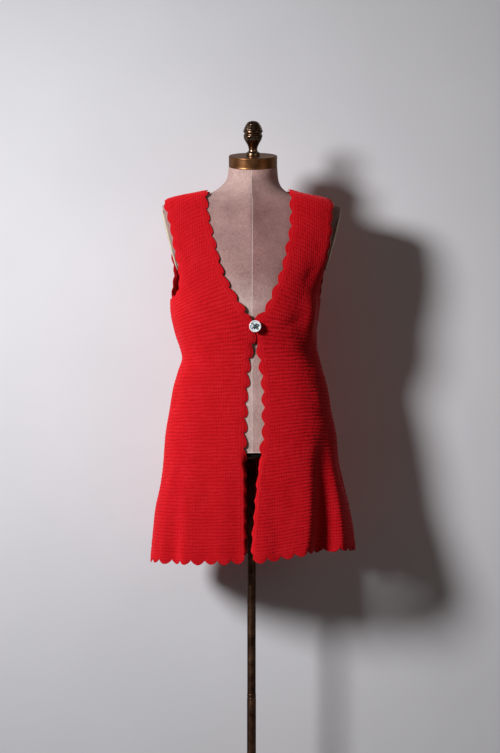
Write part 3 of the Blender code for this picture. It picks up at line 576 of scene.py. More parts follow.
def make_object(name: str, mesh: bpy.types.Mesh, material: bpy.types.Material, crisp: float = 50) -> bpy.types.Object:
    """An object of one mesh and one material, with sharp edges past an angle in degrees."""
    made = link_object(name, mesh)
    mesh.materials.clear()
    mesh.materials.append(material)
    mesh.set_sharp_from_angle(angle=math.radians(crisp))
    return made


def grid_faces(columns: int, rows: int, closed: bool = False, first: int = 0) -> list[tuple[int, int, int, int]]:
    """The faces of a grid of points that is stored column by column.

    Args:
        columns: how many columns of points there are.
        rows: how many points a column has.
        closed: whether the last column joins the first.
        first: the number of the grid's first point.

    Returns:
        The faces, four points each.
    """
    i = np.arange(columns if closed else columns - 1)[:, None]
    j = np.arange(rows - 1)[None, :]
    a, b = first + i * rows + j, first + ((i + 1) % columns) * rows + j
    return np.stack([a, b, b + 1, a + 1], axis=-1).reshape(-1, 4).tolist()


def zip_chains(long_chain: Sequence[int], short_chain: Sequence[int]) -> list[tuple[int, int, int]]:
    """Triangles between a chain of many points and one of fewer that share their two ends."""
    faces, here = [], 0
    share = (len(short_chain) - 1) / (len(long_chain) - 1)
    for i in range(len(long_chain) - 1):
        goal = min(int(round((i + 1) * share)), len(short_chain) - 1)
        faces.append((long_chain[i], long_chain[i + 1], short_chain[here]))
        while here < goal:
            faces.append((long_chain[i + 1], short_chain[here + 1], short_chain[here]))
            here += 1
    return faces


def tangents(path: Array, closed: bool) -> Array:
    """The direction of a path at each of its points, of no fixed length."""
    return np.roll(path, -1, 0) - np.roll(path, 1, 0) if closed else np.gradient(path, axis=0)


def ring_faces(count: int, ring: int, closed: bool) -> list[list[int]]:
    """The faces of rings of points along a path, with flat ends unless it is closed.

    Args:
        count: how many rings there are.
        ring: how many points a ring has.
        closed: whether the last ring joins the first.

    Returns:
        The faces, as point numbers.
    """
    i, k = np.arange(count if closed else count - 1)[:, None], np.arange(ring)[None, :]
    j, m = (i + 1) % count, (k + 1) % ring
    faces = np.stack([i * ring + k, i * ring + m, j * ring + m, j * ring + k], axis=-1).reshape(-1, 4).tolist()
    return faces if closed else [*faces, list(range(ring)), list(range((count - 1) * ring, count * ring))]


def tube(
    path: Array, radius: float, sides: int = 8, closed: bool = False, flat: float = 1.0, up: Any = None
) -> tuple[Array, list]:
    """A round or flattened tube along a path.

    Args:
        path: the centre line, in millimetres.
        radius: the tube's radius across.
        sides: how many sides it has.
        closed: whether its ends join.
        flat: the radius away from the body as a share of the radius across.
        up: the direction away from the body, or None for away from the pole's axis.

    Returns:
        Points and faces.
    """
    tangent = unit(tangents(path, closed))
    out = path * np.array([1, 1, 0]) + np.array([0, 0, 1e-3]) if up is None else np.tile(up, (len(path), 1))
    out -= tangent * (out * tangent).sum(1, keepdims=True)
    out /= np.maximum(np.linalg.norm(out, axis=1, keepdims=True), 1e-9)
    across = np.cross(tangent, out)
    turn = circle(sides)
    ring = across[:, None] * np.cos(turn)[:, None] + out[:, None] * (flat * np.sin(turn))[:, None]
    return (path[:, None] + radius * ring).reshape(-1, 3), ring_faces(len(path), sides, closed)


def capped(grid: Array, first: Sequence[float], last: Sequence[float]) -> tuple[Array, list]:
    """Closes columns of points round an axis with a pole at each end.

    Args:
        grid: points by column and ring.
        first: the pole before the first ring.
        last: the pole after the last ring.

    Returns:
        Points and faces.
    """
    sides, rings = grid.shape[:2]
    faces, end = grid_faces(sides, rings, closed=True), sides * rings
    for i in range(sides):
        j = (i + 1) % sides
        faces += [(i * rings, j * rings, end), ((i + 1) * rings - 1, (j + 1) * rings - 1, end + 1)]
    return np.concatenate([grid.reshape(-1, 3), [first, last]]), faces


def joined(shapes: Sequence[tuple[Array, Sequence]]) -> tuple[Array, list]:
    """Several shapes' points and faces as one shape's."""
    first, faces = 0, []
    for points, own in shapes:
        faces += [tuple(v + first for v in face) for face in own]
        first += len(points)
    return np.concatenate([points for points, _ in shapes]), faces


class Turn(NamedTuple):
    """A point of a turned profile: its radius and its height."""

    radius: float
    height: float


def turned(profile: Sequence[Turn], sides: int) -> tuple[Array, list]:
    """A solid of revolution about Z.

    Args:
        profile: points from one end's centre, along the outer side, to the other end's centre.
        sides: how many sides the solid has.

    Returns:
        Points and faces.
    """
    radius, height = np.array([turn for turn in profile if turn.radius > 0]).T
    angle = circle(sides)[:, None]
    grid = np.stack(np.broadcast_arrays(radius * np.cos(angle), radius * np.sin(angle), height), axis=-1)
    return capped(grid, (0, 0, profile[0].height), (0, 0, profile[-1].height))


def fine_profile(profile: Sequence[tuple[float, float]], spacing: float, bevel: float = 0.8) -> list[Turn]:
    """A profile with its corners cut and its long curves sampled finely.

    Args:
        profile: the coarse profile.
        spacing: the distance between samples, in mm.
        bevel: how far from each corner the cut starts.

    Returns:
        The fine profile.
    """
    points = np.array(profile, float)
    cut = [points[0]]
    for before, here, after in zip(points[:-2], points[1:-1], points[2:]):
        back, on = before - here, after - here
        lengths = np.linalg.norm(back), np.linalg.norm(on)
        reach = min(bevel, 0.4 * min(lengths))
        near, far = here + back / lengths[0] * reach, here + on / lengths[1] * reach
        cut += [near, (near + far + 2 * here) / 4, far]
    cut.append(points[-1])
    fine = [cut[0]]
    for start, end in zip(cut[:-1], cut[1:]):
        count = max(1, int(np.linalg.norm(end - start) / spacing))
        fine += [start + (end - start) * (k / count) for k in range(1, count + 1)]
    return [Turn(max(float(p[0]), 0.0), float(p[1])) for p in fine]


# ---- node tools ----------------------------------------------------------------------------------------
NOISE, RAMP, MAPPING, BUMP = "ShaderNodeTexNoise", "ShaderNodeValToRGB", "ShaderNodeMapping", "ShaderNodeBump"
ATTRIBUTE, SEPARATE, MIX = "GeometryNodeInputNamedAttribute", "ShaderNodeSeparateXYZ", "ShaderNodeMixShader"
ADD, SUBTRACT, MULTIPLY, MULTIPLY_ADD = (
    f"ShaderNodeMath {name}" for name in ("ADD", "SUBTRACT", "MULTIPLY", "MULTIPLY_ADD")
)
FRACT, ABSOLUTE, POWER, SINE, MAXIMUM = (
    f"ShaderNodeMath {name}" for name in ("FRACT", "ABSOLUTE", "POWER", "SINE", "MAXIMUM")
)
VECTOR_MULTIPLY = "ShaderNodeVectorMath MULTIPLY"


def add_node(tree: bpy.types.NodeTree, kind: str, sockets: Any = (), stops: Sequence = (), **settings: Any) -> Any:
    """Adds a node with its settings, and sets or links its sockets.

    Args:
        tree: the node tree.
        kind: the node's type name, with a math node's operation after a space.
        sockets: values, output sockets or nodes (for their first output), in order or by name or number.
        stops: places and hex colours, where the node holds a colour ramp.
        settings: properties of the node.

    Returns:
        The new node.
    """
    kind, *operation = kind.split()
    node = tree.nodes.new(kind)
    for name, value in {**settings, **({"operation": operation[0]} if operation else {})}.items():
        setattr(node, name, value)
    for key, value in (sockets if isinstance(sockets, dict) else dict(enumerate(sockets))).items():
        value = value.outputs[0] if isinstance(value, bpy.types.Node) else value
        if isinstance(value, bpy.types.NodeSocket):
            tree.links.new(value, node.inputs[key])
        else:
            node.inputs[key].default_value = value
    for i, (place, colour) in enumerate(stops):
        stop = node.color_ramp.elements[i] if i < 2 else node.color_ramp.elements.new(place)
        stop.position, stop.color = place, linear(colour)
    return node


@dataclass(frozen=True)
class Finish:
    """What every finish shares: its name and the sockets that are the same all over it."""

    name: str
    roughness: float = 0.6
    metallic: float = 0.0

    def start(self, **sockets: Any) -> tuple[bpy.types.Material, Any, Any, Callable[..., Any]]:
        """Begins the material.

        Args:
            sockets: more values of the shader's own sockets, with _ for a space.

        Returns:
            The material, its shader, the object's coordinates and the node-adding function for its tree.
        """
        material = bpy.data.materials.new(self.name)
        material.use_nodes = True
        shader = material.node_tree.nodes["Principled BSDF"]
        shader.inputs["Roughness"].default_value = self.roughness
        shader.inputs["Metallic"].default_value = self.metallic
        for key, value in sockets.items():
            shader.inputs[key.replace("_", " ")].default_value = value
        add = partial(add_node, material.node_tree)
        return material, shader, add("ShaderNodeTexCoord").outputs["Object"], add

    @staticmethod
    def link(shader: Any, colour: Any, bump: Any = None) -> None:
        """Joins a colour node and a bump node to the shader."""
        links = shader.id_data.links
        links.new(colour.outputs[0], shader.inputs["Base Color"])
        if bump is not None:
            links.new(bump.outputs[0], shader.inputs["Normal"])


@dataclass(frozen=True)
class CrochetedWool(Finish):
    """Wool-blend yarn crocheted in rows, softly felted.

    The eye sees a deep clear red. Painted shade darkens the grooves between the rows into dark dots at each stitch
    and into faint upright lines that part the stitches, and a painted highlight pales the stitches' crowns. There is
    no gloss, only a slightly paler fuzz towards the rim.
    """

    name: str = "crocheted_wool_rows"
    roughness: float = 0.9
    # painted highlight on the stitches' crowns
    lit: str = "#de2c3a"
    body: str = "#c80716"
    # painted shade in the grooves and in the gaps between stitches
    groove: str = "#84010a"
    depth: float = 1.0

    def make(self) -> bpy.types.Material:
        """Builds the material's nodes."""
        material, shader, at, add = self.start(
            Sheen_Weight=0.1,
            Sheen_Roughness=0.4,
            Sheen_Tint=linear("#ffa0a0"),
            Specular_IOR_Level=0.14,
            Diffuse_Roughness=1.0,
        )
        fibre = add(NOISE, {"Vector": at, "Scale": 620.0, "Detail": 4.0, "Roughness": 0.65})
        patch = add(NOISE, {"Vector": at, "Scale": 34.0, "Detail": 3.0, "Roughness": 0.6})
        uneven = add(NOISE, {"Vector": at, "Scale": 120.0, "Detail": 2.0})
        place = add(SEPARATE, [add("ShaderNodeUVMap", uv_map="stitches")])
        flat = add("ShaderNodeAttribute", attribute_name="flat").outputs["Fac"]
        # 1 in the middle of a groove or of the gap between two stitches, 0 on the stitch's crown
        up = add(MULTIPLY_ADD, [add(FRACT, [place.outputs["Y"]]), 2.0, -1.0])
        drift = add(MULTIPLY_ADD, [uneven, 0.9, place.outputs["X"]])
        along = add(MULTIPLY_ADD, [add(FRACT, [drift]), 2.0, -1.0])
        groove = add(POWER, [add(ABSOLUTE, [up]), 3.4])
        gap = add(POWER, [add(ABSOLUTE, [along]), 2.2])
        dots = add(MULTIPLY, [groove, add(MULTIPLY_ADD, [gap, 0.62, 0.38])])
        dots = add(MULTIPLY, [dots, add(MULTIPLY_ADD, [flat, -0.3, 0.8])])
        lines = add(MULTIPLY, [gap, add(MULTIPLY_ADD, [flat, 0.14, 0.18])])
        hollow = add(ADD, [dots, lines])
        hollow = add(MULTIPLY, [hollow, add(MULTIPLY, [uneven, 2.0])])
        hollow = add(MULTIPLY, [hollow, self.depth])
        # the colour runs from painted shade in the hollows, through the body's red, to a painted highlight on the
        # crowns
        shade = add(MULTIPLY_ADD, [hollow, -0.66, add(MULTIPLY_ADD, [fibre, 0.34, 0.61])])
        shade = add(MULTIPLY_ADD, [patch, 0.16, shade])
        colour = add(RAMP, [shade], stops=((0.1, self.groove), (1.04, self.lit), (0.8, self.body)))
        relief = add(MULTIPLY_ADD, [hollow, -0.9, add(MULTIPLY, [fibre, 0.3])])
        self.link(shader, colour, add(BUMP, {"Height": relief, "Strength": 0.7, "Distance": 0.0012}))
        return material


@dataclass(frozen=True)
class LinenCover(Finish):
    """Brushed linen-look jersey stretched over the form: heathered threads under a short soft pile.

    The eye sees a dusty pink-grey with fine upright threads, a paler bloom towards the rim and faint rubbed spots. Its
    colour carries painted shade over the bust and on the wearer's left half, and painted light below the bust and at
    the neck.
    """

    name: str = "stretched_linen_cover"
    roughness: float = 0.92
    light: str = "#cfb5af"
    dark: str = "#9f8683"
    # painted shade over the bust and painted light at the neck: tints laid on the cloth's colour by height
    bust_painted_shade: str = "#d5c3c3"
    neck: str = "#fff8f6"
    left: str = "#efe3e3"  # painted shade: the half of the cover on the wearer's left, turned from the key light, is coloured a little darker
    thread: float = 1.5

    def make(self) -> bpy.types.Material:
        """Builds the material's nodes."""
        material, shader, at, add = self.start(
            Specular_IOR_Level=0.12, Sheen_Weight=0.22, Sheen_Roughness=0.45, Sheen_Tint=linear("#f4dcd6")
        )
        # the real threads are 0.4 mm apart, too fine to show, so they are drawn four times as coarse
        upright = add(MAPPING, {"Vector": at, "Scale": (1, 1, 0.2)})
        level = add(MAPPING, {"Vector": at, "Scale": (0.2, 0.2, 1)})
        warp = add(NOISE, {"Vector": upright, "Scale": 1000 / self.thread, "Detail": 3.0})
        weft = add(NOISE, {"Vector": level, "Scale": 1000 / self.thread, "Detail": 2.0})
        weave = add(MULTIPLY_ADD, [weft, 0.3, add(MULTIPLY, [warp, 0.7])])
        rubbed = add(NOISE, {"Vector": at, "Scale": 26.0, "Detail": 5.0, "Roughness": 0.65})
        shade = add(MULTIPLY_ADD, [rubbed, 0.4, add(MULTIPLY, [weave, 0.6])])
        colour = add(RAMP, [shade], stops=((0.36, self.dark), (0.64, self.light)))
        # painted shade: the cloth is coloured darker over the bust and the shoulders, from 1.2 m to 1.4 m high, and
        # painted light leaves it paler below and at the neck
        place = add(SEPARATE, [at])
        height = add(ADD, [place.outputs["Z"], -1.0])
        painted_light_and_shade_tone = add(RAMP, [height], stops=((0.17, "#ffffff"), (0.43, self.neck), (0.235, self.bust_painted_shade), (0.37, self.bust_painted_shade)))
        colour = add(VECTOR_MULTIPLY, [colour, painted_light_and_shade_tone])
        # painted shade: the cloth on the wearer's left of the centre seam is coloured darker
        across = add(ADD, [place.outputs["X"], 0.5])
        half = add(RAMP, [across], stops=((0.5012, "#ffffff"), (0.5022, self.left)))
        colour = add(VECTOR_MULTIPLY, [colour, half])
        self.link(shader, colour, add(BUMP, {"Height": weave, "Strength": 0.3, "Distance": 0.0004}))
        return material


@dataclass(frozen=True)
class RubbedBronze(Finish):
    """Cast and spun brass with an antique bronze patina, lacquered: dark in hollows, warm where handled."""

    name: str = "antique_bronze_patina"
    roughness: float = 0.34
    metallic: float = 1.0
    dark: str = "#3a2113"
    warm: str = "#8a5a30"
    worn: float = 0.5

    def make(self) -> bpy.types.Material:
        """Builds the material's nodes."""
        material, shader, at, add = self.start()
        cloud = add(NOISE, {"Vector": at, "Scale": 38.0, "Detail": 5.0, "Roughness": 0.62})
        grain = add(NOISE, {"Vector": at, "Scale": 560.0, "Detail": 3.0, "Roughness": 0.6})
        mix = add(MULTIPLY_ADD, [grain, 0.2, add(MULTIPLY, [cloud, 0.8])])
        middle = 0.8 - 0.55 * self.worn
        colour = add(RAMP, [mix], stops=((middle - 0.17, self.dark), (middle + 0.17, self.warm)))
        rough = add(MULTIPLY_ADD, [cloud, 0.2, self.roughness - 0.1])
        material.node_tree.links.new(rough.outputs[0], shader.inputs["Roughness"])
        self.link(shader, colour, add(BUMP, {"Height": grain, "Strength": 0.12, "Distance": 0.0003}))
        return material


@dataclass(frozen=True)
class StainedBoard(Finish):
    """Plywood stained dark brown and coloured near black as painted shade: a long grain that shows as faint streaks
    under a dull finish.
    """

    name: str = "stained_plywood_painted_shade"
    roughness: float = 0.7

    def make(self) -> bpy.types.Material:
        """Builds the material's nodes."""
        material, shader, at, add = self.start(Specular_IOR_Level=0.15)
        long = add(MAPPING, {"Vector": at, "Scale": (0.08, 1, 1)})
        grain = add(NOISE, {"Vector": long, "Scale": 330.0, "Detail": 5.0, "Roughness": 0.6})
        # painted shade: the browns are near black
        colour = add(RAMP, [grain], stops=((0.3, "#0a0604"), (0.7, "#1a110b")))
        self.link(shader, colour, add(BUMP, {"Height": grain, "Strength": 0.25, "Distance": 0.0005}))
        return material


@dataclass(frozen=True)
class ShellPearl(Finish):
    """Polished shell: a glossy blue-white with cloudy growth lines that turn faintly pink and green."""

    name: str = "polished_shell"
    roughness: float = 0.16

    def make(self) -> bpy.types.Material:
        """Builds the material's nodes."""
        material, shader, at, add = self.start(Coat_Weight=0.6, Coat_Roughness=0.08)
        cloud = add(NOISE, {"Vector": at, "Scale": 190.0, "Detail": 4.0, "Roughness": 0.6, "Distortion": 1.2})
        stops = ((0.3, "#aebccb"), (0.72, "#dadcec"), (0.5, "#eef0f4"))
        self.link(shader, add(RAMP, [cloud], stops=stops))
        return material


@dataclass(frozen=True)
class SewingThread(Finish):
    """Twisted cotton thread in dark teal-grey: matt, with the slant of its two plies."""

    name: str = "twisted_cotton_thread"
    roughness: float = 0.75
    light: str = "#4a6268"
    dark: str = "#141f24"

    def make(self) -> bpy.types.Material:
        """Builds the material's nodes."""
        material, shader, at, add = self.start()
        ply = add(NOISE, {"Vector": at, "Scale": 900.0, "Detail": 2.0})
        colour = add(RAMP, [ply], stops=((0.35, self.dark), (0.65, self.light)))
        self.link(shader, colour, add(BUMP, {"Height": ply, "Strength": 0.4, "Distance": 0.0003}))
        return material


@dataclass(frozen=True)
class MattPaint(Finish):
    """Matt emulsion on a studio wall or floor, with a faint roller texture. It shows from its front only."""

    name: str = "matt_wall_paint"
    roughness: float = 0.95
    light: str = "#dedee3"
    dark: str = "#d8d8dd"
    bounce: float = 1.0  # the share of its light that it passes on to other things

    def make(self) -> bpy.types.Material:
        """Builds the material's nodes."""
        material, shader, at, add = self.start(Specular_IOR_Level=0.1)
        cloud = add(NOISE, {"Vector": at, "Scale": 2.5, "Detail": 3.0})
        self.link(shader, add(RAMP, [cloud], stops=((0.3, self.dark), (0.7, self.light))))
        ray, side = add("ShaderNodeLightPath"), add("ShaderNodeNewGeometry")
        held = add(MULTIPLY, [ray.outputs["Is Glossy Ray"], 0.6])
        held = add(MULTIPLY_ADD, [ray.outputs["Is Diffuse Ray"], 1 - self.bounce, held])
        shader = add(MIX, [held, shader, add("ShaderNodeBsdfDiffuse", {"Color": (0, 0, 0, 1)})])
        behind = add(MAXIMUM, [side.outputs["Backfacing"], ray.outputs["Is Shadow Ray"]])
        seen = add(MIX, [behind, shader, add("ShaderNodeBsdfTransparent")])
        material.node_tree.links.new(seen.outputs[0], material.node_tree.nodes["Material Output"].inputs["Surface"])
        return material


# ---- geometry node trees -------------------------------------------------------------------------------
def new_tree(name: str, inputs: Sequence[tuple[str, str]]) -> tuple[Any, Any, Any]:
    """An empty Geometry Nodes tree with named inputs.

    Args:
        name: the tree's name.
        inputs: the name and socket type of each input after the geometry.

    Returns:
        The tree, its input node and its output node.
    """
    tree = bpy.data.node_groups.new(name, "GeometryNodeTree")
    tree.interface.new_socket("Geometry", in_out="INPUT", socket_type="NodeSocketGeometry")
    for label, kind in inputs:
        tree.interface.new_socket(label, in_out="INPUT", socket_type=kind)
    tree.interface.new_socket("Geometry", in_out="OUTPUT", socket_type="NodeSocketGeometry")
    return tree, tree.nodes.new("NodeGroupInput"), tree.nodes.new("NodeGroupOutput")


def close_tree(tree: Any, given: Any, result: Any, geometry: Any) -> None:
    """Ends a tree in Realize Instances and Set Material."""
    real = add_node(tree, "GeometryNodeRealizeInstances", [geometry])
    yarn = add_node(tree, "GeometryNodeSetMaterial", {"Geometry": real, "Material": given.outputs["Yarn"]})
    tree.links.new(yarn.outputs[0], result.inputs[0])


def rib_tree() -> bpy.types.NodeTree:
    """A tree that raises the ribs on a panel's outer points and makes the yarn uneven."""
    tree, given, result = new_tree(
        "crocheted_ribs",
        [
            ("Rib relief", "NodeSocketFloat"),
            ("Unevenness", "NodeSocketFloat"),
            ("Seed", "NodeSocketFloat"),
            ("Yarn", "NodeSocketMaterial"),
        ],
    )
    add = partial(add_node, tree)
    rib = add(ATTRIBUTE, {"Name": "rib"}, data_type="FLOAT")
    flat = add(ATTRIBUTE, {"Name": "flat"}, data_type="FLOAT")
    away = add(ATTRIBUTE, {"Name": "away"}, data_type="FLOAT_VECTOR")
    turn = add(MULTIPLY, [rib, math.pi])
    wave = add(ABSOLUTE, [add(SINE, [turn])])
    ridge = add(MULTIPLY, [add(POWER, [wave, 0.6]), given.outputs["Rib relief"]])
    ridge = add(MULTIPLY, [ridge, add(MULTIPLY_ADD, [flat, -0.7, 1.0])])
    sockets = {"Vector": add("GeometryNodeInputPosition"), "W": given.outputs["Seed"], "Scale": 130.0, "Detail": 2.0}
    lump = add(SUBTRACT, [add(NOISE, sockets, noise_dimensions="4D"), 0.5])
    reach = add(MULTIPLY_ADD, [lump, given.outputs["Unevenness"], ridge])
    offset = add("ShaderNodeVectorMath SCALE", {0: away, "Scale": reach})
    moved = add("GeometryNodeSetPosition", {"Geometry": given.outputs["Geometry"], "Offset": offset})
    close_tree(tree, given, result, moved)
    return tree


def chain_tree() -> bpy.types.NodeTree:
    """A tree that sets one crochet loop on each point, along its run and facing out."""
    tree, given, result = new_tree(
        "crochet_chain",
        [
            ("Loop length", "NodeSocketFloat"),
            ("Loop width", "NodeSocketFloat"),
            ("Seed", "NodeSocketInt"),
            ("Yarn", "NodeSocketMaterial"),
        ],
    )
    add = partial(add_node, tree)
    bead = add("GeometryNodeMeshUVSphere", {"Segments": 7, "Rings": 5, "Radius": 0.5})
    bead = add("GeometryNodeSetShadeSmooth", [bead])
    run = add(ATTRIBUTE, {"Name": "run"}, data_type="FLOAT_VECTOR")
    away = add(ATTRIBUTE, {"Name": "away"}, data_type="FLOAT_VECTOR")
    turn = add("FunctionNodeAlignRotationToVector", {"Vector": run}, axis="X")
    turn = add("FunctionNodeAlignRotationToVector", {"Rotation": turn, "Vector": away}, axis="Z", pivot_axis="X")
    vary = add("FunctionNodeRandomValue", {2: 0.85, 3: 1.15, "Seed": given.outputs["Seed"]}, data_type="FLOAT")
    length = add(MULTIPLY, [given.outputs["Loop length"], vary.outputs[1]])
    depth = add(MULTIPLY, [given.outputs["Loop width"], 0.8])
    size = add("ShaderNodeCombineXYZ", [length, given.outputs["Loop width"], depth])
    points = add("GeometryNodeMeshToPoints", [given.outputs["Geometry"]])
    sockets = {"Points": points, "Instance": bead, "Rotation": turn, "Scale": size}
    close_tree(tree, given, result, add("GeometryNodeInstanceOnPoints", sockets))
    return tree


def run_tree(obj: bpy.types.Object, tree: bpy.types.NodeTree, values: dict[str, Any]) -> None:
    """Runs a tree on an object and keeps its result as a plain mesh.

    Args:
        obj: the object, whose mesh is replaced.
        tree: the tree to run.
        values: its inputs by name.
    """
    modifier = obj.modifiers.new(tree.name, "NODES")
    modifier.node_group = tree
    for item in tree.interface.items_tree:
        if item.item_type == "SOCKET" and item.in_out == "INPUT" and item.name in values:
            modifier[item.identifier] = values[item.name]
    graph = bpy.context.evaluated_depsgraph_get()
    mesh = bpy.data.meshes.new_from_object(obj.evaluated_get(graph), preserve_all_data_layers=True, depsgraph=graph)
    obj.modifiers.clear()
    obj.data = mesh


def set_attribute(mesh: bpy.types.Mesh, name: str, values: Array) -> None:
    """Stores one number or one vector for each point."""
    kind, key = ("FLOAT", "value") if values.ndim == 1 else ("FLOAT_VECTOR", "vector")
    layer = mesh.attributes.new(name, kind, "POINT")
    layer.data.foreach_set(key, np.ascontiguousarray(values, np.float32).ravel())


def set_uv(mesh: bpy.types.Mesh, name: str, values: Array) -> None:
    """Stores a UV map from one pair of numbers for each point."""
    corners = np.zeros(len(mesh.loops), np.int32)
    mesh.loops.foreach_get("vertex_index", corners)
    layer = mesh.uv_layers.new(name=name)
    layer.data.foreach_set("uv", np.ascontiguousarray(values[corners], np.float32).ravel())


def finish_piece(obj: bpy.types.Object, nodes: Sequence[str] = ()) -> bpy.types.Object:
    """Makes a piece ride on the one body and hides the solids it stands for."""
    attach(obj, "root")
    if nodes:
        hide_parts(*nodes)
    LOG.info("%s: %d faces", obj.name, len(obj.data.polygons))
    return obj


# ---- where the rows of the panels run ------------------------------------------------------------------
def rib_share(rib: Array) -> Array:
    """The share of the height from hem to armhole that this rib has reached."""
    growth = (RIB_PITCH_AT_ARMHOLE - RIB_PITCH_AT_HEM) / (2 * RIBS_BELOW_ARMHOLE)
    whole = RIB_PITCH_AT_HEM * RIBS_BELOW_ARMHOLE + growth * RIBS_BELOW_ARMHOLE**2
    return (RIB_PITCH_AT_HEM * rib + growth * rib * rib) / whole


def lower_height(rib: Array, angle: Array) -> Array:
    """The height of a rib below the armhole, in a direction."""
    hem = DRAPE.hem((np.asarray(angle) + 180) % 360 - 180)
    return hem + (ARMHOLE_BASE - hem) * rib_share(rib)


def edge_share(side: int, height: Array) -> Array:
    """The share of the half-width where a front panel's edge lies."""
    return side * EDGE_AT[side](height) / VEST.half_width(side, height)


def armhole_x(face: int, side: int, height: Array, top: float) -> Array:
    """The armhole's edge, which bends over the shoulder towards its end on the shoulder line."""
    x = ARMHOLE_AT[face, side](height) * VEST.half_width(side, height)
    bend = soft_step((height - SHOULDER_BEND_START) / (top - SHOULDER_BEND_START))
    return side * (x + (SHOULDER_TIP[side] - x) * bend)


@dataclass
class KnitPanel:
    """One panel of the vest, worked from hem to shoulder on the skin."""

    name: str
    face: int
    side: int
    columns: int
    flat: tuple[float, float]
    area: float
    seed: float
    skin: Array = field(default_factory=lambda: np.zeros((0, 0, 3)))

    def lay_rows(self) -> None:
        """Works out the panel's skin points, column by column from hem to shoulder."""
        share = np.linspace(0, 1, self.columns + 1)
        ribs = np.arange(RIBS_BELOW_ARMHOLE * ROWS_PER_RIB + 1) / ROWS_PER_RIB
        if self.face == FRONT:
            lines = RIGHT_FRONT_COLUMNS if self.side == RIGHT else LEFT_FRONT_COLUMNS
            lower = self.front_lower(share[:, None], ribs[None, :])
            upper = self.front_upper(column_of(lines, "turn", "shoulder")(share), lower[:, -1])
        else:
            angle = -90 - 180 * share
            ends = MonotoneCurve([-c.angle for c in BACK_COLUMNS], [c.shoulder for c in BACK_COLUMNS])
            height = lower_height(ribs[None, :], angle[:, None])
            lower = VEST.point(BACK, np.sin(np.radians(angle))[:, None], height)
            upper = self.back_upper(ends(-angle), lower[:, -1])
        self.skin = np.concatenate([lower, upper[:, 1:]], axis=1)

    def front_lower(self, turn: Array, rib: Array) -> Array:
        """Points below the armhole, from the panel's front edge round to the side seam."""
        height = lower_height(rib, self.side * 90 * turn)
        edge = np.arcsin(edge_share(self.side, height))
        angle = edge + (self.side * math.pi / 2 - edge) * turn
        return VEST.point(FRONT, np.sin(angle), lower_height(rib, np.degrees(angle)))

    def front_upper(self, shoulder: Array, start: Array) -> Array:
        """Points above the armhole's base of a front panel."""
        side = self.side
        edge_x = EDGE_AT[side](FRONT_EDGES[-1].height)
        edge_top, tip_top = VEST.closing_height(side * edge_x), VEST.closing_height(side * SHOULDER_TIP[side])
        inner, outer = side * EDGE_AT[side](ARMHOLE_BASE), side * VEST.half_width(side, ARMHOLE_BASE)
        start_share = (start[:, 0] - inner) / (outer - inner)
        rise = self.rises()
        inner_x = side * EDGE_AT[side](ARMHOLE_BASE + (edge_top - ARMHOLE_BASE) * rise)
        outer_x = armhole_x(FRONT, side, ARMHOLE_BASE + (tip_top - ARMHOLE_BASE) * rise, tip_top)
        share = start_share[:, None] + (shoulder - start_share)[:, None] * soft_step(rise)
        x = inner_x + (outer_x - inner_x) * share
        top_x = side * (edge_x + (SHOULDER_TIP[side] - edge_x) * shoulder)
        return self.climb(x, rise, start, top_x, VEST.closing_height(top_x))

    def back_upper(self, shoulder: Array, start: Array) -> Array:
        """Points above the armhole's base of the back, whose top dips between the neck points."""
        tops = {side: VEST.closing_height(side * SHOULDER_TIP[side]) for side in (RIGHT, LEFT)}
        low = {side: side * VEST.half_width(side, ARMHOLE_BASE) for side in (RIGHT, LEFT)}
        start_share = (start[:, 0] - low[RIGHT]) / (low[LEFT] - low[RIGHT])
        end_share = (shoulder + SHOULDER_TIP[RIGHT]) / (SHOULDER_TIP[RIGHT] + SHOULDER_TIP[LEFT])
        rise = self.rises()
        edges = {
            side: armhole_x(BACK, side, ARMHOLE_BASE + (tops[side] - ARMHOLE_BASE) * rise, tops[side])
            for side in (RIGHT, LEFT)
        }
        share = start_share[:, None] + (end_share - start_share)[:, None] * soft_step(rise)
        x = edges[RIGHT] + (edges[LEFT] - edges[RIGHT]) * share
        neck = np.where(shoulder >= 0, EDGE_AT[LEFT](FRONT_EDGES[-1].height), EDGE_AT[RIGHT](FRONT_EDGES[-1].height))
        at_neck = VEST.closing_height(np.sign(shoulder + 1e-9) * neck)
        dip = BACK_NECK_DROP * (1 - np.minimum(np.abs(shoulder) / neck, 1) ** BACK_NECK_FLATNESS)
        top = np.where(np.abs(shoulder) >= neck, VEST.closing_height(shoulder), at_neck - dip)
        return self.climb(x, rise, start, shoulder, top)

    @staticmethod
    def rises() -> Array:
        """The shares of the way up at which a column's line is sampled, closer towards the top."""
        return 1 - (1 - np.arange(UPPER_SAMPLES + 1) / UPPER_SAMPLES) ** 2

    def climb(self, x: Array, rise: Array, start: Array, top_x: Array, top_height: Array) -> Array:
        """The columns' lines from the armhole's base to the top edge, with evenly spaced rows.

        Args:
            x: each line's X at each sample.
            rise: the share of the way up at each sample.
            start: the lines' first points.
            top_x: their X at the top.
            top_height: their height at the top.

        Returns:
            Points, by column and row.
        """
        height = ARMHOLE_BASE + (top_height - ARMHOLE_BASE)[:, None] * rise
        x[:, -1] = top_x
        path = VEST.point(self.face, np.clip(x / VEST.half_width(x, height), -1, 1), height)
        path[:, 0] = start
        z = path[:, 1:, 2]
        shelf = soft_step((z - ARMHOLE_BASE) / SHELF_HEIGHT)
        crest = soft_step(1 - (top_height[:, None] - z) / CREST_HEIGHT)
        weight = SHELF_SIDEWAYS + (1 - SHELF_SIDEWAYS) * shelf - (1 - CREST_SIDEWAYS) * crest
        rows = RIBS_ABOVE_ARMHOLE * ROWS_PER_RIB
        return np.array([spaced(line, rows, w) for line, w in zip(path, weight)])

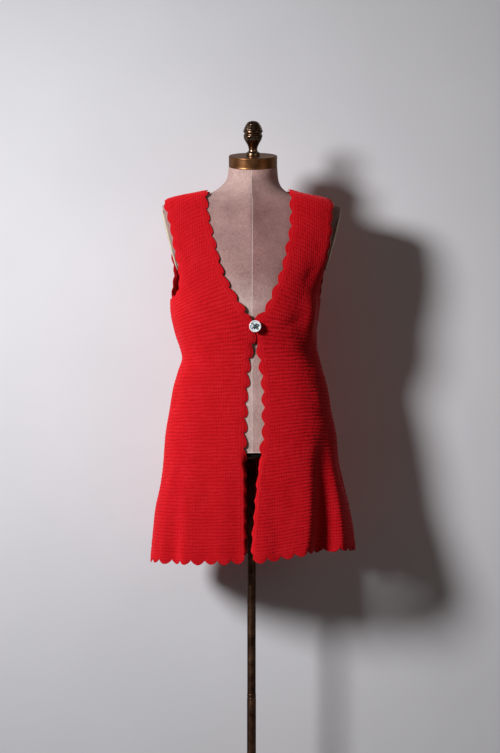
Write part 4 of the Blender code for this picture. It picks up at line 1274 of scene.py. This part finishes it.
    def stitches(self) -> tuple[Array, Array]:
        """Where each skin point lies in the stitches: along its row in mm, and in rows from the hem."""
        along = np.concatenate([np.zeros((1, self.skin.shape[1])), np.cumsum(steps(self.skin), axis=0)])
        rib = np.broadcast_to(np.arange(self.skin.shape[1]) / ROWS_PER_RIB, along.shape).copy()
        rib += sum(size * np.sin(along / length + turn * rib) for size, length, turn in ROW_WANDER)
        if self.face == FRONT:
            along += np.abs(self.skin[0, :, 0])
            tilt = column_of(ROW_TILT, "height", "slope")(self.skin[..., 2])
            rib += tilt * (along - TILT_CENTRE) / RIB_PITCH_AT_ARMHOLE
        else:
            middle = np.argmin(np.abs(self.skin[..., 0]), axis=0)
            along -= along[middle, np.arange(along.shape[1])]
        return along, rib

    def build(self, rib_nodes: bpy.types.NodeTree, wool: bpy.types.Material) -> bpy.types.Object:
        """Makes the panel as a thin closed wall with ribs on its outer side.

        Args:
            rib_nodes: the tree that raises the ribs.
            wool: the cloth's material.

        Returns:
            The finished piece.
        """
        self.lay_rows()
        columns, rows = self.skin.shape[:2]
        outer = off_seam(DRAPE.out(self.skin, self.face, self.side, WALL), self.face)
        keep_columns = sorted({*range(0, columns, INNER_STEP), columns - 1})
        keep_rows = sorted({*range(0, rows, INNER_STEP), rows - 1})
        kept = self.skin[keep_columns][:, keep_rows]
        inner = off_seam(DRAPE.out(kept, self.face, self.side, INNER_OFFSET), self.face)
        points = np.concatenate([outer.reshape(-1, 3), inner.reshape(-1, 3)])
        first = columns * rows
        n, m = len(keep_columns), len(keep_rows)
        faces = grid_faces(columns, rows) + grid_faces(n, m, first=first)
        end = first + n * m
        faces += zip_chains(range(rows), range(first, first + m))
        faces += zip_chains(range(first - rows, first), range(end - m, end))
        faces += zip_chains(range(0, first, rows), range(first, end, m))
        faces += zip_chains(range(rows - 1, first, rows), range(first + m - 1, end, m))
        mesh = make_mesh(self.name, points, faces)
        along, rib = self.stitches()
        inner_along, inner_rib = (a[keep_columns][:, keep_rows].ravel() for a in (along, rib))
        every_along = np.concatenate([along.ravel(), inner_along])
        every_rib = np.concatenate([rib.ravel(), inner_rib])
        set_uv(mesh, "stitches", np.stack([every_along / STITCH_WIDTH, every_rib], axis=1))
        away = np.zeros((len(points), 3))
        away[:first] = VEST.normal(self.skin, self.face).reshape(-1, 3)
        set_attribute(mesh, "rib", every_rib)
        set_attribute(mesh, "flat", stretched(points[:, 2]))
        set_attribute(mesh, "away", away)
        piece = make_object(f"cloth_{self.name}", mesh, wool, crisp=65)
        uneven = YARN_UNEVENNESS * MM
        values = {"Rib relief": RIB_RELIEF * MM, "Unevenness": uneven, "Seed": self.seed, "Yarn": wool}
        run_tree(piece, rib_nodes, values)
        return finish_piece(piece, [self.name])


@dataclass
class ShellEdging:
    """A crocheted band of fan-shaped shells along an edge, with a chain along its seam and its rim.

    valley and tip are the band's width between and at the shells. skew moves the tips along their shells,
    a fullness below 1 gives round shells with sharp notches, above 1 a smooth wave, and curl lifts the tips.
    drawn is how much the neck's pull flattens the scallops above the button.
    """

    name: str
    path: Array
    face: int | None
    side: int
    outward: int
    shells: int
    closed: bool = False
    notched: bool = False
    rolled: bool = False
    valley: float = SHELL_VALLEY
    tip: float = SHELL_TIP
    skew: float = 1.0
    fullness: float = 0.8
    curl: float = 0.4
    drawn: float = 0.0
    posts: int = 7
    fan: float = 2.5  # the angle that a shell's posts fill, in radians
    fan_depth: float = 3.0  # how far inside the panel's edge the posts would meet
    root: float = -0.6  # where the band starts, from the panel's edge
    across: int = 8
    step: float = 1.35

    def build(
        self, chain_nodes: bpy.types.NodeTree, wool: bpy.types.Material, loops: bpy.types.Material
    ) -> list[bpy.types.Object]:
        """Makes the band and its chains.

        Args:
            chain_nodes: the tree that sets a loop on each point.
            wool: the band's material.
            loops: the chains' material.

        Returns:
            The band and the chains.
        """
        length = steps(self.path).sum()
        per_shell = max(8, int(round(length / self.shells / self.step)))
        base = spaced(self.path, self.shells * per_shell)
        base = base[:-1] if self.closed else base
        here = np.full(len(base), self.face) if self.face else np.where(base[:, 1] < 0, FRONT, BACK)
        up = VEST.normal(base, here)
        free = unit(self.outward * np.cross(tangents(base, self.closed), up))
        place = np.arange(len(base)) / per_shell
        within, number = place % 1.0, np.floor(place)
        reach = self.reaches(base[:, 2], within, number)
        curl = self.curl + 0.5 * np.sin(1.7 * number + 0.6)
        turn = EDGE_ROLL * soft_step((EDGE_ROLL_START - base[:, 2]) / EDGE_ROLL_RISE) * self.rolled
        curl += EDGE_ROLL_TWIST * turn / EDGE_ROLL * (np.sin(2 * np.pi * within) + 0.4 * np.sin(4 * np.pi * within))

        def at(distance: Array, offset: Array) -> Array:
            """Points at distances from the panel's edge, on the cloth and moved out by an offset."""
            offset = offset + curl[:, None] * (np.clip(distance, 0, None) / SHELL_TIP) ** 2
            bent = np.maximum(distance, 0) / EDGE_ROLL_LENGTH
            bend = turn[:, None] * np.where(bent < 1, bent / 2, 1 - 0.5 / np.maximum(bent, 1))
            away = distance * np.cos(bend) + offset * np.sin(bend)
            flat = VEST.pull_onto(base[:, None] + free[:, None] * away[..., None], here[:, None])
            moved = DRAPE.out(flat, here[:, None], self.side, offset * np.cos(bend) - distance * np.sin(bend))
            return off_seam(moved, self.face) if self.face else moved

        share = np.linspace(0, 1, self.across + 1)[None, :]
        distance = self.root + (reach[:, None] - self.root) * share
        theta = np.arctan2((within[:, None] - 0.5) * length / self.shells, distance + self.fan_depth)
        ribs = 0.5 + 0.5 * np.cos(theta * self.posts * 2 * np.pi / self.fan)
        relief = 0.75 * ribs * soft_step(share * 4) * soft_step((1 - share) * 4)
        low = 0.7 * stretched(base[:, 2])[:, None]
        rim = EDGING_THICKNESS * (1 - 0.5 * share**8) + 0.6 - low - (1.4 - low) * share
        top = at(distance, rim + relief)
        under = at(np.stack([np.full(len(base), self.root), reach - 0.3], axis=1), np.array([[0.15, 0.15]]))
        points = np.concatenate([top, under[:, ::-1]], axis=1)
        faces = ring_faces(len(base), points.shape[1], self.closed)
        mesh = make_mesh(self.name, points.reshape(-1, 3), faces)
        fan = (number[:, None] + 0.5) * self.posts + theta * self.posts / self.fan
        rows = np.concatenate([distance / SHELL_ROW + 0.15, np.full((len(base), 2), 0.5)], axis=1)
        fan = np.concatenate([fan, fan[:, :2]], axis=1)
        set_uv(mesh, "stitches", np.stack([fan.ravel(), rows.ravel()], axis=1))
        set_attribute(mesh, "flat", np.full(len(mesh.vertices), 0.35))
        band = make_object(f"cloth_{self.name}", mesh, wool, crisp=70)
        finish_piece(band, [self.name])
        rim_line = at((reach - 0.8)[:, None], np.array([[EDGING_THICKNESS - 1.4]]))[:, 0]
        seam_line = at(np.full((len(base), 1), 0.8), EDGING_THICKNESS - 0.2 - low)[:, 0]
        rims = self.chain("rim_loops", rim_line, up, chain_nodes, loops, length=4.4, width=2.4)
        seam = self.chain("seam_chain", seam_line, up, chain_nodes, loops, length=5.4, width=2.2)
        return [band, rims, seam]

    def reaches(self, height: Array, within: Array, number: Array) -> Array:
        """The band's width at each point of its edge.

        Args:
            height: the points' heights.
            within: how far through its shell each point is, from 0 to 1.
            number: the number of its shell.

        Returns:
            The widths in mm.
        """
        wave = np.sin(np.pi * within**self.skew)
        reach = self.valley + (self.tip - self.valley) * wave**self.fullness
        drawn = self.drawn * soft_step((height - BUTTON_HEIGHT) / DRAWN_RISE)
        reach += drawn * (0.5 * (self.valley + self.tip) - reach)
        reach += SHELL_CHANGE * np.sin(SHELL_TURNS * number) * wave
        if self.notched:
            reach = np.where(np.abs(height - BUTTON_HEIGHT) < BUTTONHOLE_HALF_LENGTH, BUTTONHOLE_REACH, reach)
        return reach

    def chain(
        self,
        kind: str,
        line: Array,
        up: Array,
        chain_nodes: bpy.types.NodeTree,
        yarn: bpy.types.Material,
        length: float,
        width: float,
    ) -> bpy.types.Object:
        """A chain of crochet loops along a line.

        Args:
            kind: which chain of the edging it is.
            line: the points of the line.
            up: the cloth's normal at each of them.
            chain_nodes: the tree that sets the loops.
            yarn: the loops' material.
            length: a loop's length.
            width: a loop's width.

        Returns:
            The finished chain.
        """
        marks = np.concatenate([[0], np.cumsum(steps(line))])
        count = int(marks[-1] / (length * LOOP_SPACING))
        spots = (np.arange(count) + 0.5) / count * marks[-1]
        centre, away = at_marks(spots, marks, line), at_marks(spots, marks, up)
        run = np.gradient(centre, axis=0)
        run += 0.35 * np.cross(away, run)
        mesh = bpy.data.meshes.new(kind)
        mesh.from_pydata((centre * MM).tolist(), [], [])
        set_attribute(mesh, "run", unit(run))
        set_attribute(mesh, "away", away)
        name = self.name.replace("_edging", "") + "_" + kind
        piece = link_object(name, mesh)
        values = {"Loop length": length * MM, "Loop width": width * MM, "Seed": len(name), "Yarn": yarn}
        run_tree(piece, chain_nodes, values)
        return finish_piece(piece)


@dataclass
class Vest:
    """The garment: three panels, six edgings and their chains."""

    right: KnitPanel = field(
        default_factory=partial(KnitPanel, "right_front", FRONT, RIGHT, 136, (0.32, 0.79), 0.152, 3.1)
    )
    left: KnitPanel = field(
        default_factory=partial(KnitPanel, "left_front", FRONT, LEFT, 136, (0.31, 0.79), 0.145, 7.7)
    )
    back: KnitPanel = field(default_factory=partial(KnitPanel, "back", BACK, LEFT, 210, (0.61, 0.80), 0.370, 5.2))

    def hem_path(self) -> Array:
        """The hem from the right front's corner, round the back, to the left front's corner."""
        corner = {}
        for side, panel in ((RIGHT, self.right), (LEFT, self.left)):
            start = panel.skin[0, 0]
            width = float(VEST.half_width(side, start[2]))
            corner[side] = VEST.point(FRONT, start[0] / width - side * HEM_CORNER / width, start[2])
        parts = [corner[RIGHT][None], self.right.skin[:, 0], self.back.skin[1:-1, 0]]
        return np.concatenate([*parts, self.left.skin[::-1, 0], corner[LEFT][None]])

    @staticmethod
    def above_hem(line: Array) -> Array:
        """A front edge's line, started a little above the hem's own edging."""
        return np.concatenate([(line[:1] * 0.7 + line[1:2] * 0.3), line[1:]])

    def armhole_path(self, front_line: Array, back_line: Array) -> Array:
        """The loop round an armhole, up its front edge and down its back edge."""
        first = RIBS_BELOW_ARMHOLE * ROWS_PER_RIB
        return np.concatenate([front_line[first:], back_line[first:][::-1][1:]])

    def build(self, rows: bpy.types.Material, edges: bpy.types.Material, loops: bpy.types.Material) -> None:
        """Makes all the cloth.

        Args:
            rows: the panels' material.
            edges: the edging bands' material.
            loops: the chains' material.
        """
        ribs, chains = rib_tree(), chain_tree()
        cloth = {panel.name: panel.build(ribs, rows) for panel in (self.right, self.left, self.back)}
        right, left, back = self.right.skin, self.left.skin, self.back.skin
        neck = [i for i in range(back.shape[0]) if -EDGE_AT[RIGHT](1416) <= back[i, -1, 0] <= EDGE_AT[LEFT](1416)]
        holes = {RIGHT: self.armhole_path(right[-1], back[0]), LEFT: self.armhole_path(left[-1], back[-1])}
        fronts = self.above_hem(right[0]), self.above_hem(left[0])
        front = partial(ShellEdging, face=FRONT, rolled=True, curl=-1.6)
        edge = partial(ShellEdging, side=LEFT)
        hole = partial(edge, face=None, closed=True, valley=10.5, tip=15.0, fullness=1.15)
        right_shape = {"notched": True, "valley": 8.6, "tip": 17.0, "skew": 0.6, "fullness": 0.95, "drawn": 0.32}
        left_shape = {"valley": 9.9, "tip": 16.8, "fullness": 1.15, "drawn": 0.2}
        hem = self.hem_path()
        edgings = [
            ("right_front", front("right_front_edging", fronts[0], side=RIGHT, outward=1, shells=27, **right_shape)),
            ("left_front", front("left_front_edging", fronts[1], side=LEFT, outward=-1, shells=25, **left_shape)),
            ("back", edge("back_neck_edging", back[neck, -1], face=BACK, outward=1, shells=11)),
            ("back", hole("right_armhole_edging", holes[RIGHT], outward=-1, shells=21)),
            ("back", hole("left_armhole_edging", holes[LEFT], outward=1, shells=20)),
            ("back", edge("hem_edging", hem, face=None, outward=-1, shells=41, valley=8.6, tip=18.3)),
        ]
        trimmings: dict[str, list[bpy.types.Object]] = {name: [] for name in cloth}
        for owner, edging in edgings:
            trimmings[owner] += edging.build(chains, edges, loops)


class Stitch(NamedTuple):
    """One strand of thread over the button's face: its run, its bend and its lift in mm, its angle in radians."""

    start: float
    end: float
    bend: float
    lift: float
    angle: float


THREAD_STITCHES = table(
    Stitch,
    (-9.2, 8.4, 0.9, 0.9, -0.66), (-7.6, 8.8, -1.4, 1.2, -0.9), (-8.6, 7.4, 1.2, 0.8, 0.62),
    (-5.0, 9.0, -1.8, 1.3, 0.36), (-6.4, 6.2, 1.0, 0.9, 1.25),
)


@dataclass
class Button:
    """A round button: a raised polished rim, a dished face and a knot of crossed dark thread."""

    radius: float = BUTTON_RADIUS
    thickness: float = BUTTON_THICKNESS
    thread: float = 0.85

    def build(self, pearl: bpy.types.Material, thread: bpy.types.Material) -> None:
        """Makes the button on the overlap, with its shank going through the buttonhole.

        Args:
            pearl: the button's material.
            thread: the sewing thread's material.
        """
        width = float(VEST.half_width(BUTTON_X, BUTTON_HEIGHT))
        spot = VEST.point(FRONT, BUTTON_X / width, BUTTON_HEIGHT)
        centre = spot + VEST.normal(spot, FRONT) * BUTTON_STANDOFF
        place = Matrix.Translation(Vector(centre * MM)) @ Matrix.Rotation(math.pi / 2, 4, "X")
        under = EDGING_THICKNESS + 0.5 - BUTTON_STANDOFF
        t, r = self.thickness, self.radius
        profile = [
            (0, t - 1.5), (r * 0.66, t - 1.5), (r * 0.74, t - 1.2), (r * 0.79, t - 0.3), (r * 0.84, t),
            (r * 0.92, t - 0.15), (r * 0.97, t * 0.75), (r, t * 0.5), (r * 0.93, 0.5), (r * 0.8, 0), (1.5, 0),
            (1.5, under), (0, under),
        ]
        body = make_mesh("button_body", *turned(fine_profile(profile, 1.2, 0.5), 56))
        body.transform(place)
        piece = make_object("button_disc", body, pearl, crisp=60)
        finish_piece(piece, ["button"])
        strands = [tube(self.strand(stitch), self.thread, sides=6, up=(0.0, 0.0, 1.0)) for stitch in THREAD_STITCHES]
        mesh = make_mesh("button_thread", *joined(strands))
        mesh.transform(place)
        finish_piece(make_object("button_thread", mesh, thread))

    def strand(self, stitch: Stitch, samples: int = 11) -> Array:
        """The line of one strand of thread over the button's face."""
        along = np.linspace(stitch.start, stitch.end, samples)
        bow = stitch.bend * (1 - (2 * (along - stitch.start) / (stitch.end - stitch.start) - 1) ** 2)
        cos, sin = math.cos(stitch.angle), math.sin(stitch.angle)
        flat = np.stack([along, bow], axis=1) @ np.array([[cos, sin], [-sin, cos]])
        lift = self.thickness - 1.1 + stitch.lift * np.sin(np.linspace(0.25, math.pi - 0.25, samples))
        return np.concatenate([flat, lift[:, None]], axis=1)


FINIAL_PROFILE = table(
    Turn,
    (15.1, 0.0), (15.1, 3.2), (14.4, 6.2), (10.6, 8.2), (9.2, 13.0), (10.6, 19.5), (15.2, 27.0), (19.6, 36.0),
    (20.4, 41.8), (19.2, 44.8), (18.0, 46.3), (19.6, 48.3), (21.0, 51.5), (20.2, 56.0), (17.6, 61.8), (13.6, 67.6),
    (8.2, 71.8), (0.2, 73.5),
)


@dataclass
class DressForm:
    """The limbless linen form: torso, seams, arm plates, neck cap, finial and bottom board."""

    bottom: float = FORM_SKIN[0].height
    top: float = FORM_SKIN[-1].height
    tilt: float = math.radians(16.5)
    tilt_start: float = 1416.0
    neck_centre: float = 3.2
    cut_start: float = 1228.0
    cut_x: float = 190.5
    cut_height: float = 1384.0
    cut_lean: float = math.radians(14.3)
    plate_height: float = 1314.0
    plate_half: tuple[float, float] = (66.0, 45.0)
    plate_thickness: float = 4.0
    plate_shift: float = 6.0
    ridge: float = 6.5  # how far the front stands out at its centre seam above the bust
    ridge_width: float = 28.0
    ridge_start: float = 1270.0
    drop: float = 7.0  # how far the front falls back to the wearer's left of that seam
    drop_width: float = 30.0
    drop_start: float = 1290.0
    rise: float = 60.0  # the height over which the ridge and the drop grow
    cap_radius: float = 52.2
    cap_height: float = 23.5
    gap: float = PIECE_GAP
    sides: int = 144
    rings: int = 170

    def arm_plane(self, height: Array) -> Array:
        """Where the form is cut flat for the arm plate at a height."""
        return self.cut_x - (self.cut_height - height) * math.tan(self.cut_lean)

    def surface(self, turn: Array, height: Array) -> Array:
        """Points of the torso at an angle (0 is the front) and a height, with the arms' flat cuts.

        Args:
            turn: the angles in radians.
            height: the heights in mm.

        Returns:
            The points.
        """
        turn, height = np.broadcast_arrays(np.asarray(turn, float), np.asarray(height, float))
        face = np.where(np.cos(turn) > 0, FRONT, BACK)
        points = FORM.point(face, np.sin(turn), height)
        x = points[..., 0]
        ridge = self.ridge * np.exp(-np.abs(x) / self.ridge_width)
        ridge = ridge * soft_step((height - self.ridge_start) / self.rise)
        drop = self.drop * (1 - np.exp(-np.maximum(x, 0) / self.drop_width))
        drop = drop * soft_step((height - self.drop_start) / self.rise)
        lift = ridge * (points[..., 1] < 0) - drop * soft_step(-points[..., 1] / 30)
        points[..., 1] -= lift * soft_step((self.top - height) / 30)
        cut = np.where(height > self.cut_start, self.arm_plane(height), 1e6)
        points[..., 0] = np.clip(points[..., 0], -cut, cut)
        lean = soft_step((height - self.tilt_start) / (self.top - self.tilt_start))
        points[..., 2] += points[..., 1] * math.tan(self.tilt) * lean
        return points

    def build(self, finishes: dict[str, bpy.types.Material]) -> None:
        """Makes every piece of the form.

        Args:
            finishes: materials by what they cover.
        """
        self.torso(finishes["linen"], finishes["tape"])
        for side, name in ((RIGHT, "right"), (LEFT, "left")):
            self.arm_plate(side, name, finishes["calico"])
        base = Matrix.Translation((self.neck_centre * MM, 0, (self.top + self.gap) * MM))
        axis = base @ Matrix.Rotation(self.tilt, 4, "X")
        self.cap(axis, finishes["cap"])
        self.finial(axis @ Matrix.Translation((0, 0, (self.cap_height + self.gap) * MM)), finishes["finial"])
        self.board(finishes["board"])

    def torso(self, linen: bpy.types.Material, tape: bpy.types.Material) -> None:
        """The torso's skin, its four seams and the piping round its lower edge."""
        turn = circle(self.sides)
        height = np.linspace(self.bottom, self.top, self.rings)
        skin = self.surface(turn[:, None], height[None, :])
        ends = (0, 0, self.bottom), (self.neck_centre, 0, self.top)
        piece = make_object("linen_torso", make_mesh("linen_torso", *capped(skin, *ends)), linen)
        finish_piece(piece, ["form_torso"])
        height = np.linspace(self.bottom + 2, self.top - 1, 150)
        seams = [self.surface(place, height) for place in (0.012, math.pi, 0.5 * math.pi, 1.5 * math.pi)]
        rim = self.surface(circle(160), self.bottom + 1.2)
        cords = [*(tube(seam, 0.85, sides=6, flat=0.5) for seam in seams), tube(rim, 1.1, closed=True)]
        mesh = make_mesh("torso_seams", *joined(cords))
        finish_piece(make_object("torso_seams", mesh, tape))

    def arm_plate(self, side: int, name: str, calico: bpy.types.Material) -> None:
        """A crowned oval plate with a cord round its rim, lying on the form's flat cut."""
        sides, rings, crown = 64, 9, 2.2
        turn = circle(sides)
        rows, half = [], self.plate_thickness / 2
        for share in np.linspace(0, 1, rings)[1:]:
            rise = half + crown * (1 - share**2) - (0.9 if share == 1 else 0)
            rows.append(np.stack([share * np.cos(turn), share * np.sin(turn), np.full(sides, rise)], axis=1))
        rows.append(np.stack([np.cos(turn), np.sin(turn), np.full(sides, -half)], axis=1))
        plate = capped(np.stack(rows, axis=1) * np.array([*self.plate_half, 1]), (0, 0, half + crown), (0, 0, -half))
        rim = np.stack([np.cos(turn) * self.plate_half[0], np.sin(turn) * self.plate_half[1], 0 * turn], axis=1)
        mesh = make_mesh(f"arm_plate_{name}", *joined([plate, tube(rim, 1.2, closed=True)]))
        out = self.gap + self.plate_thickness / 2
        x = float(self.arm_plane(self.plate_height)) + out * math.cos(self.cut_lean)
        height = self.plate_height - out * math.sin(self.cut_lean)
        place = Matrix.Translation((side * x * MM, self.plate_shift * MM, height * MM))
        mesh.transform(place @ Matrix.Rotation(side * (math.pi / 2 + self.cut_lean), 4, "Y"))
        piece = make_object(f"calico_arm_plate_{name}", mesh, calico)
        finish_piece(piece, [f"form_arm_plate_{name}"])

    def cap(self, axis: Matrix, bronze: bpy.types.Material) -> None:
        """The spun neck cap, with a rounded upper edge and a bead at its foot."""
        r, h = self.cap_radius, self.cap_height
        profile = [
            (0, h - 0.8), (18, h - 0.8), (r - 4.5, h - 0.8), (r - 3.2, h), (r - 0.9, h - 0.2), (r, h - 1.6),
            (r - 0.3, h - 3.2), (r - 0.3, 2.2), (r, 1.4), (r - 0.2, 0.5), (r - 1.2, 0), (0, 0),
        ]
        mesh = make_mesh("neck_cap", *turned(fine_profile(profile, 3.0, 0.5), 96))
        mesh.transform(axis)
        finish_piece(make_object("bronze_neck_cap", mesh, bronze), ["form_neck_cap"])

    def finial(self, axis: Matrix, bronze: bpy.types.Material) -> None:
        """The acorn finial: a dome of scales over a cup of leaves on a turned stem."""
        curve = column_of(FINIAL_PROFILE, "height", "radius")
        top = FINIAL_PROFILE[-1].height
        sides, cup_low, cup_high, dome_low, scale_height = 84, 20, 45.5, 51.5, 5.2
        fine = np.concatenate([np.linspace(0, top - 4.2, 100), top - np.linspace(4.0, 0.04, 14)])
        z, a = np.meshgrid(fine, circle(sides))
        radius = curve(z)
        cup = soft_step((z - cup_low) / 8) * soft_step((cup_high - z) / 4)
        leaf = np.abs(np.sin(4 * a + 0.4)) ** 0.6 * soft_step((z - cup_low) / 24) + 0.35 * np.abs(np.cos(8 * a + 0.8))
        radius = radius * (1 - 0.11 * cup * (1 - np.clip(leaf, 0, 1)))
        dome = soft_step((z - dome_low) / 4) * soft_step((top - z) / 8)
        row = (z - dome_low) / scale_height
        scale = np.cos(5 * a + np.pi * np.floor(row)) ** 2 * (1 - (row % 1.0))
        radius = radius * (1 - 0.075 * dome * (1 - scale))
        grid = np.stack([radius * np.cos(a), radius * np.sin(a), z], axis=-1)
        mesh = make_mesh("acorn_finial", *capped(grid, (0, 0, 0), (0, 0, top)))
        mesh.transform(axis)
        finish_piece(make_object("bronze_acorn_finial", mesh, bronze, crisp=60), ["form_finial"])

    def board(self, wood: bpy.types.Material) -> None:
        """The board under the form, with its upper and lower edges eased."""
        sides, high, low = 96, self.bottom - self.gap, self.bottom - self.gap - BOARD_THICKNESS
        ring = self.surface(circle(sides), self.bottom) * np.array([0.93, 0.93, 0])
        length = np.linalg.norm(ring, axis=1, keepdims=True)
        edges = (2.0, high), (0, high - 1.5), (0, low + 1.5), (2.0, low)
        rows = [ring * (1 - inset / length) + np.array([0, 0, height]) for inset, height in edges]
        points = np.stack(rows, axis=1).reshape(-1, 3)
        faces = grid_faces(sides, len(rows), closed=True)
        faces += [tuple(range(end, len(points), len(rows))) for end in (0, len(rows) - 1)]
        piece = make_object("stained_board", make_mesh("stained_board", points, faces), wood, crisp=30)
        finish_piece(piece, ["form_bottom_board"])


@dataclass
class PoleStand:
    """The stand: a flange under the form, the pole in two lengths with a collar, and a round foot."""

    under_board: float = FORM_SKIN[0].height - 2 * PIECE_GAP - BOARD_THICKNESS
    flange: tuple[float, float] = (32.0, 10.0)
    upper_radius: float = 9.1
    lower_radius: float = 9.6
    joint: float = 331.0
    foot_top: float = 74.0
    gap: float = PIECE_GAP

    def build(self, bronze: bpy.types.Material) -> None:
        """Makes the stand's four pieces."""
        radius, height = self.flange
        top = self.under_board
        self.piece("bronze_flange", "stand_flange", [
            (0, top), (radius - 0.6, top), (radius, top - 1.0), (radius, top - 3.6),
            (radius - 4, top - 4.6), (16, top - 5.4), (14.5, top - height + 0.6),
            (13.8, top - height), (0, top - height),
        ], bronze)
        low = self.joint + self.gap
        high = top - height - self.gap
        r = self.upper_radius
        self.piece("bronze_pole_upper", "stand_pole_upper", [
            (0, high), (r - 0.4, high), (r, high - 0.6), (r, low + 7.0), (r + 0.4, low + 6.4),
            (r + 0.5, low + 1.0), (r, low), (0, low),
        ], bronze)
        r, base = self.lower_radius, self.foot_top + self.gap
        self.piece("bronze_pole_lower", "stand_pole_lower", [
            (0, self.joint), (r - 0.6, self.joint), (r, self.joint - 1.2), (r, base), (0, base),
        ], bronze)
        self.piece("bronze_foot", "stand_foot", [
            (0, self.foot_top), (15.2, self.foot_top), (17.2, 73.2), (19.0, 70.0), (19.0, 54.0), (20.0, 48.0),
            (24.0, 36.0), (33.0, 28.5), (48.0, 24.0), (84.0, 20.2), (120.0, 17.0),
            (148.0, 14.6), (161.0, 13.0), (167.5, 10.4), (170.0, 7.0), (170.0, 1.0), (169.0, 0.0), (0, 0.0),
        ], bronze, 128)

    def piece(self, name: str, node: str, profile: Sequence, bronze: bpy.types.Material, sides: int = 48) -> None:
        """One turned piece of the stand."""
        mesh = make_mesh(name, *turned(fine_profile(profile, 40.0, 0.5), sides))
        finish_piece(make_object(name, mesh, bronze, crisp=35), [node])


@dataclass
class Studio:
    """A plain pale floor and wall, one soft key light and the camera."""

    wall: float = 0.205
    reach: float = 4.0
    corner: float = 0.03
    pixel: float = 0.00215
    distance: float = 2.85
    eye: float = 1.02
    columns: int = 500
    rows: int = 753
    middle_column: float = 251.5

    def build(self, wall: bpy.types.Material, floor: bpy.types.Material) -> None:
        """Makes the stage, the lights and the camera."""
        self.stage(wall, floor)
        self.lights()
        self.camera()

    def stage(self, wall_paint: bpy.types.Material, floor_paint: bpy.types.Material) -> None:
        """The floor and the wall, joined by a soft curve."""
        r = self.corner
        curve = [(-self.reach, 0.0), (self.wall - r, 0.0)]
        curve += [(self.wall - r + r * math.sin(a), r - r * math.cos(a)) for a in np.linspace(0.2, math.pi / 2, 8)]
        curve.append((self.wall, self.reach))
        points = [(x, y, z) for x in (-self.reach, self.reach) for y, z in curve]
        faces = [(i, i + 1, len(curve) + i + 1, len(curve) + i) for i in range(len(curve) - 1)]
        mesh = bpy.data.meshes.new("studio_wall")
        mesh.from_pydata(points, [], faces)
        mesh.flip_normals()
        mesh.shade_smooth()
        wall = link_object("studio_wall", mesh)
        for paint in (wall_paint, floor_paint):
            mesh.materials.append(paint)
        mesh.polygons[0].material_index = 1

    def lights(self) -> None:
        """A soft key light from the front left, a weak fill, one behind for the back view, and dim air."""
        for name, place, aim, size, power, spread, colour in (
            ("key", (-1.75, -1.9, 1.82), (0.0, 0.1, 0.95), 0.62, 26.0, 100, "#ffffff"),
            ("fill", (2.2, -2.4, 1.4), (0.0, 0.0, 1.0), 2.0, 5.5, 180, "#ffeadb"),
            ("back", (0.6, 2.6, 1.3), (0.0, 0.0, 1.1), 1.6, 9.0, 180, "#ffffff"),
        ):
            lamp = bpy.data.lights.new(name, "AREA")
            lamp.shape = "DISK"
            lamp.size = size
            lamp.energy = power
            lamp.spread = math.radians(spread)
            lamp.color = linear(colour)[:3]
            made = link_object(name, lamp)
            made.location = place
            made.rotation_euler = (Vector(aim) - Vector(place)).to_track_quat("-Z", "Y").to_euler()
        world = bpy.data.worlds.new("studio_air")
        world.use_nodes = True
        add = partial(add_node, world.node_tree)
        # the air is paler to the camera and darker in reflections than the weak light it gives
        ray = add("ShaderNodeLightPath")
        shine = add(MULTIPLY_ADD, [ray.outputs["Is Glossy Ray"], -0.03, 0.065])
        strength = add(MULTIPLY_ADD, [ray.outputs["Is Camera Ray"], 0.5, shine])
        air = world.node_tree.nodes["Background"]
        air.inputs["Color"].default_value = linear("#d8d4ca")
        world.node_tree.links.new(strength.outputs[0], air.inputs["Strength"])
        bpy.context.scene.world = world
        bpy.context.scene.view_settings.view_transform = "Standard"

    def camera(self) -> None:
        """A level camera at the photograph's distance, height and width of view."""
        lens = bpy.data.cameras.new("studio_camera")
        lens.sensor_width = 36.0
        lens.lens = 36.0 * self.distance / (self.rows * self.pixel)
        made = link_object("studio_camera", lens)
        made.location = ((self.columns / 2 - self.middle_column) * self.pixel, -self.distance, self.eye)
        made.rotation_euler = (math.pi / 2, 0, 0)
        bpy.context.scene.camera = made


def main() -> None:
    logging.basicConfig(level=logging.INFO, format="%(name)s %(message)s")
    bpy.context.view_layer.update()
    rows = CrochetedWool().make()
    edges = CrochetedWool(name="crocheted_wool_shells", depth=0.75).make()
    loops = CrochetedWool(name="crocheted_wool_chain", depth=0.3).make()
    Vest().build(rows, edges, loops)
    Button().build(ShellPearl().make(), SewingThread().make())
    tape = LinenCover(name="pale_seam_tape", light="#dcc8c2", dark="#c4aea8", bust_painted_shade="#eeeaea", neck="#eeeaea")
    calico = LinenCover(name="cream_calico", light="#ddd5c0", dark="#bdb39c", bust_painted_shade="#ffffff", neck="#ffffff")
    cap = RubbedBronze(name="satin_bronze_cap", dark="#583620", warm="#a8744c", worn=0.75, roughness=0.37)
    finial = RubbedBronze(name="cast_bronze_finial", dark="#4e392b", warm="#b4937a", worn=0.5, roughness=0.26)
    pole = RubbedBronze(name="bronze_pole_tube", dark="#3c261b", warm="#82604a", worn=0.5, roughness=0.42)
    covers = {
        "linen": LinenCover(), "tape": tape, "calico": calico, "cap": cap, "finial": finial, "board": StainedBoard(),
    }
    DressForm().build({part: finish.make() for part, finish in covers.items()})
    PoleStand().build(pole.make())
    Studio().build(MattPaint().make(), MattPaint(name="matt_floor_paint", bounce=0.12).make())


if __name__ == "__main__":
    main()
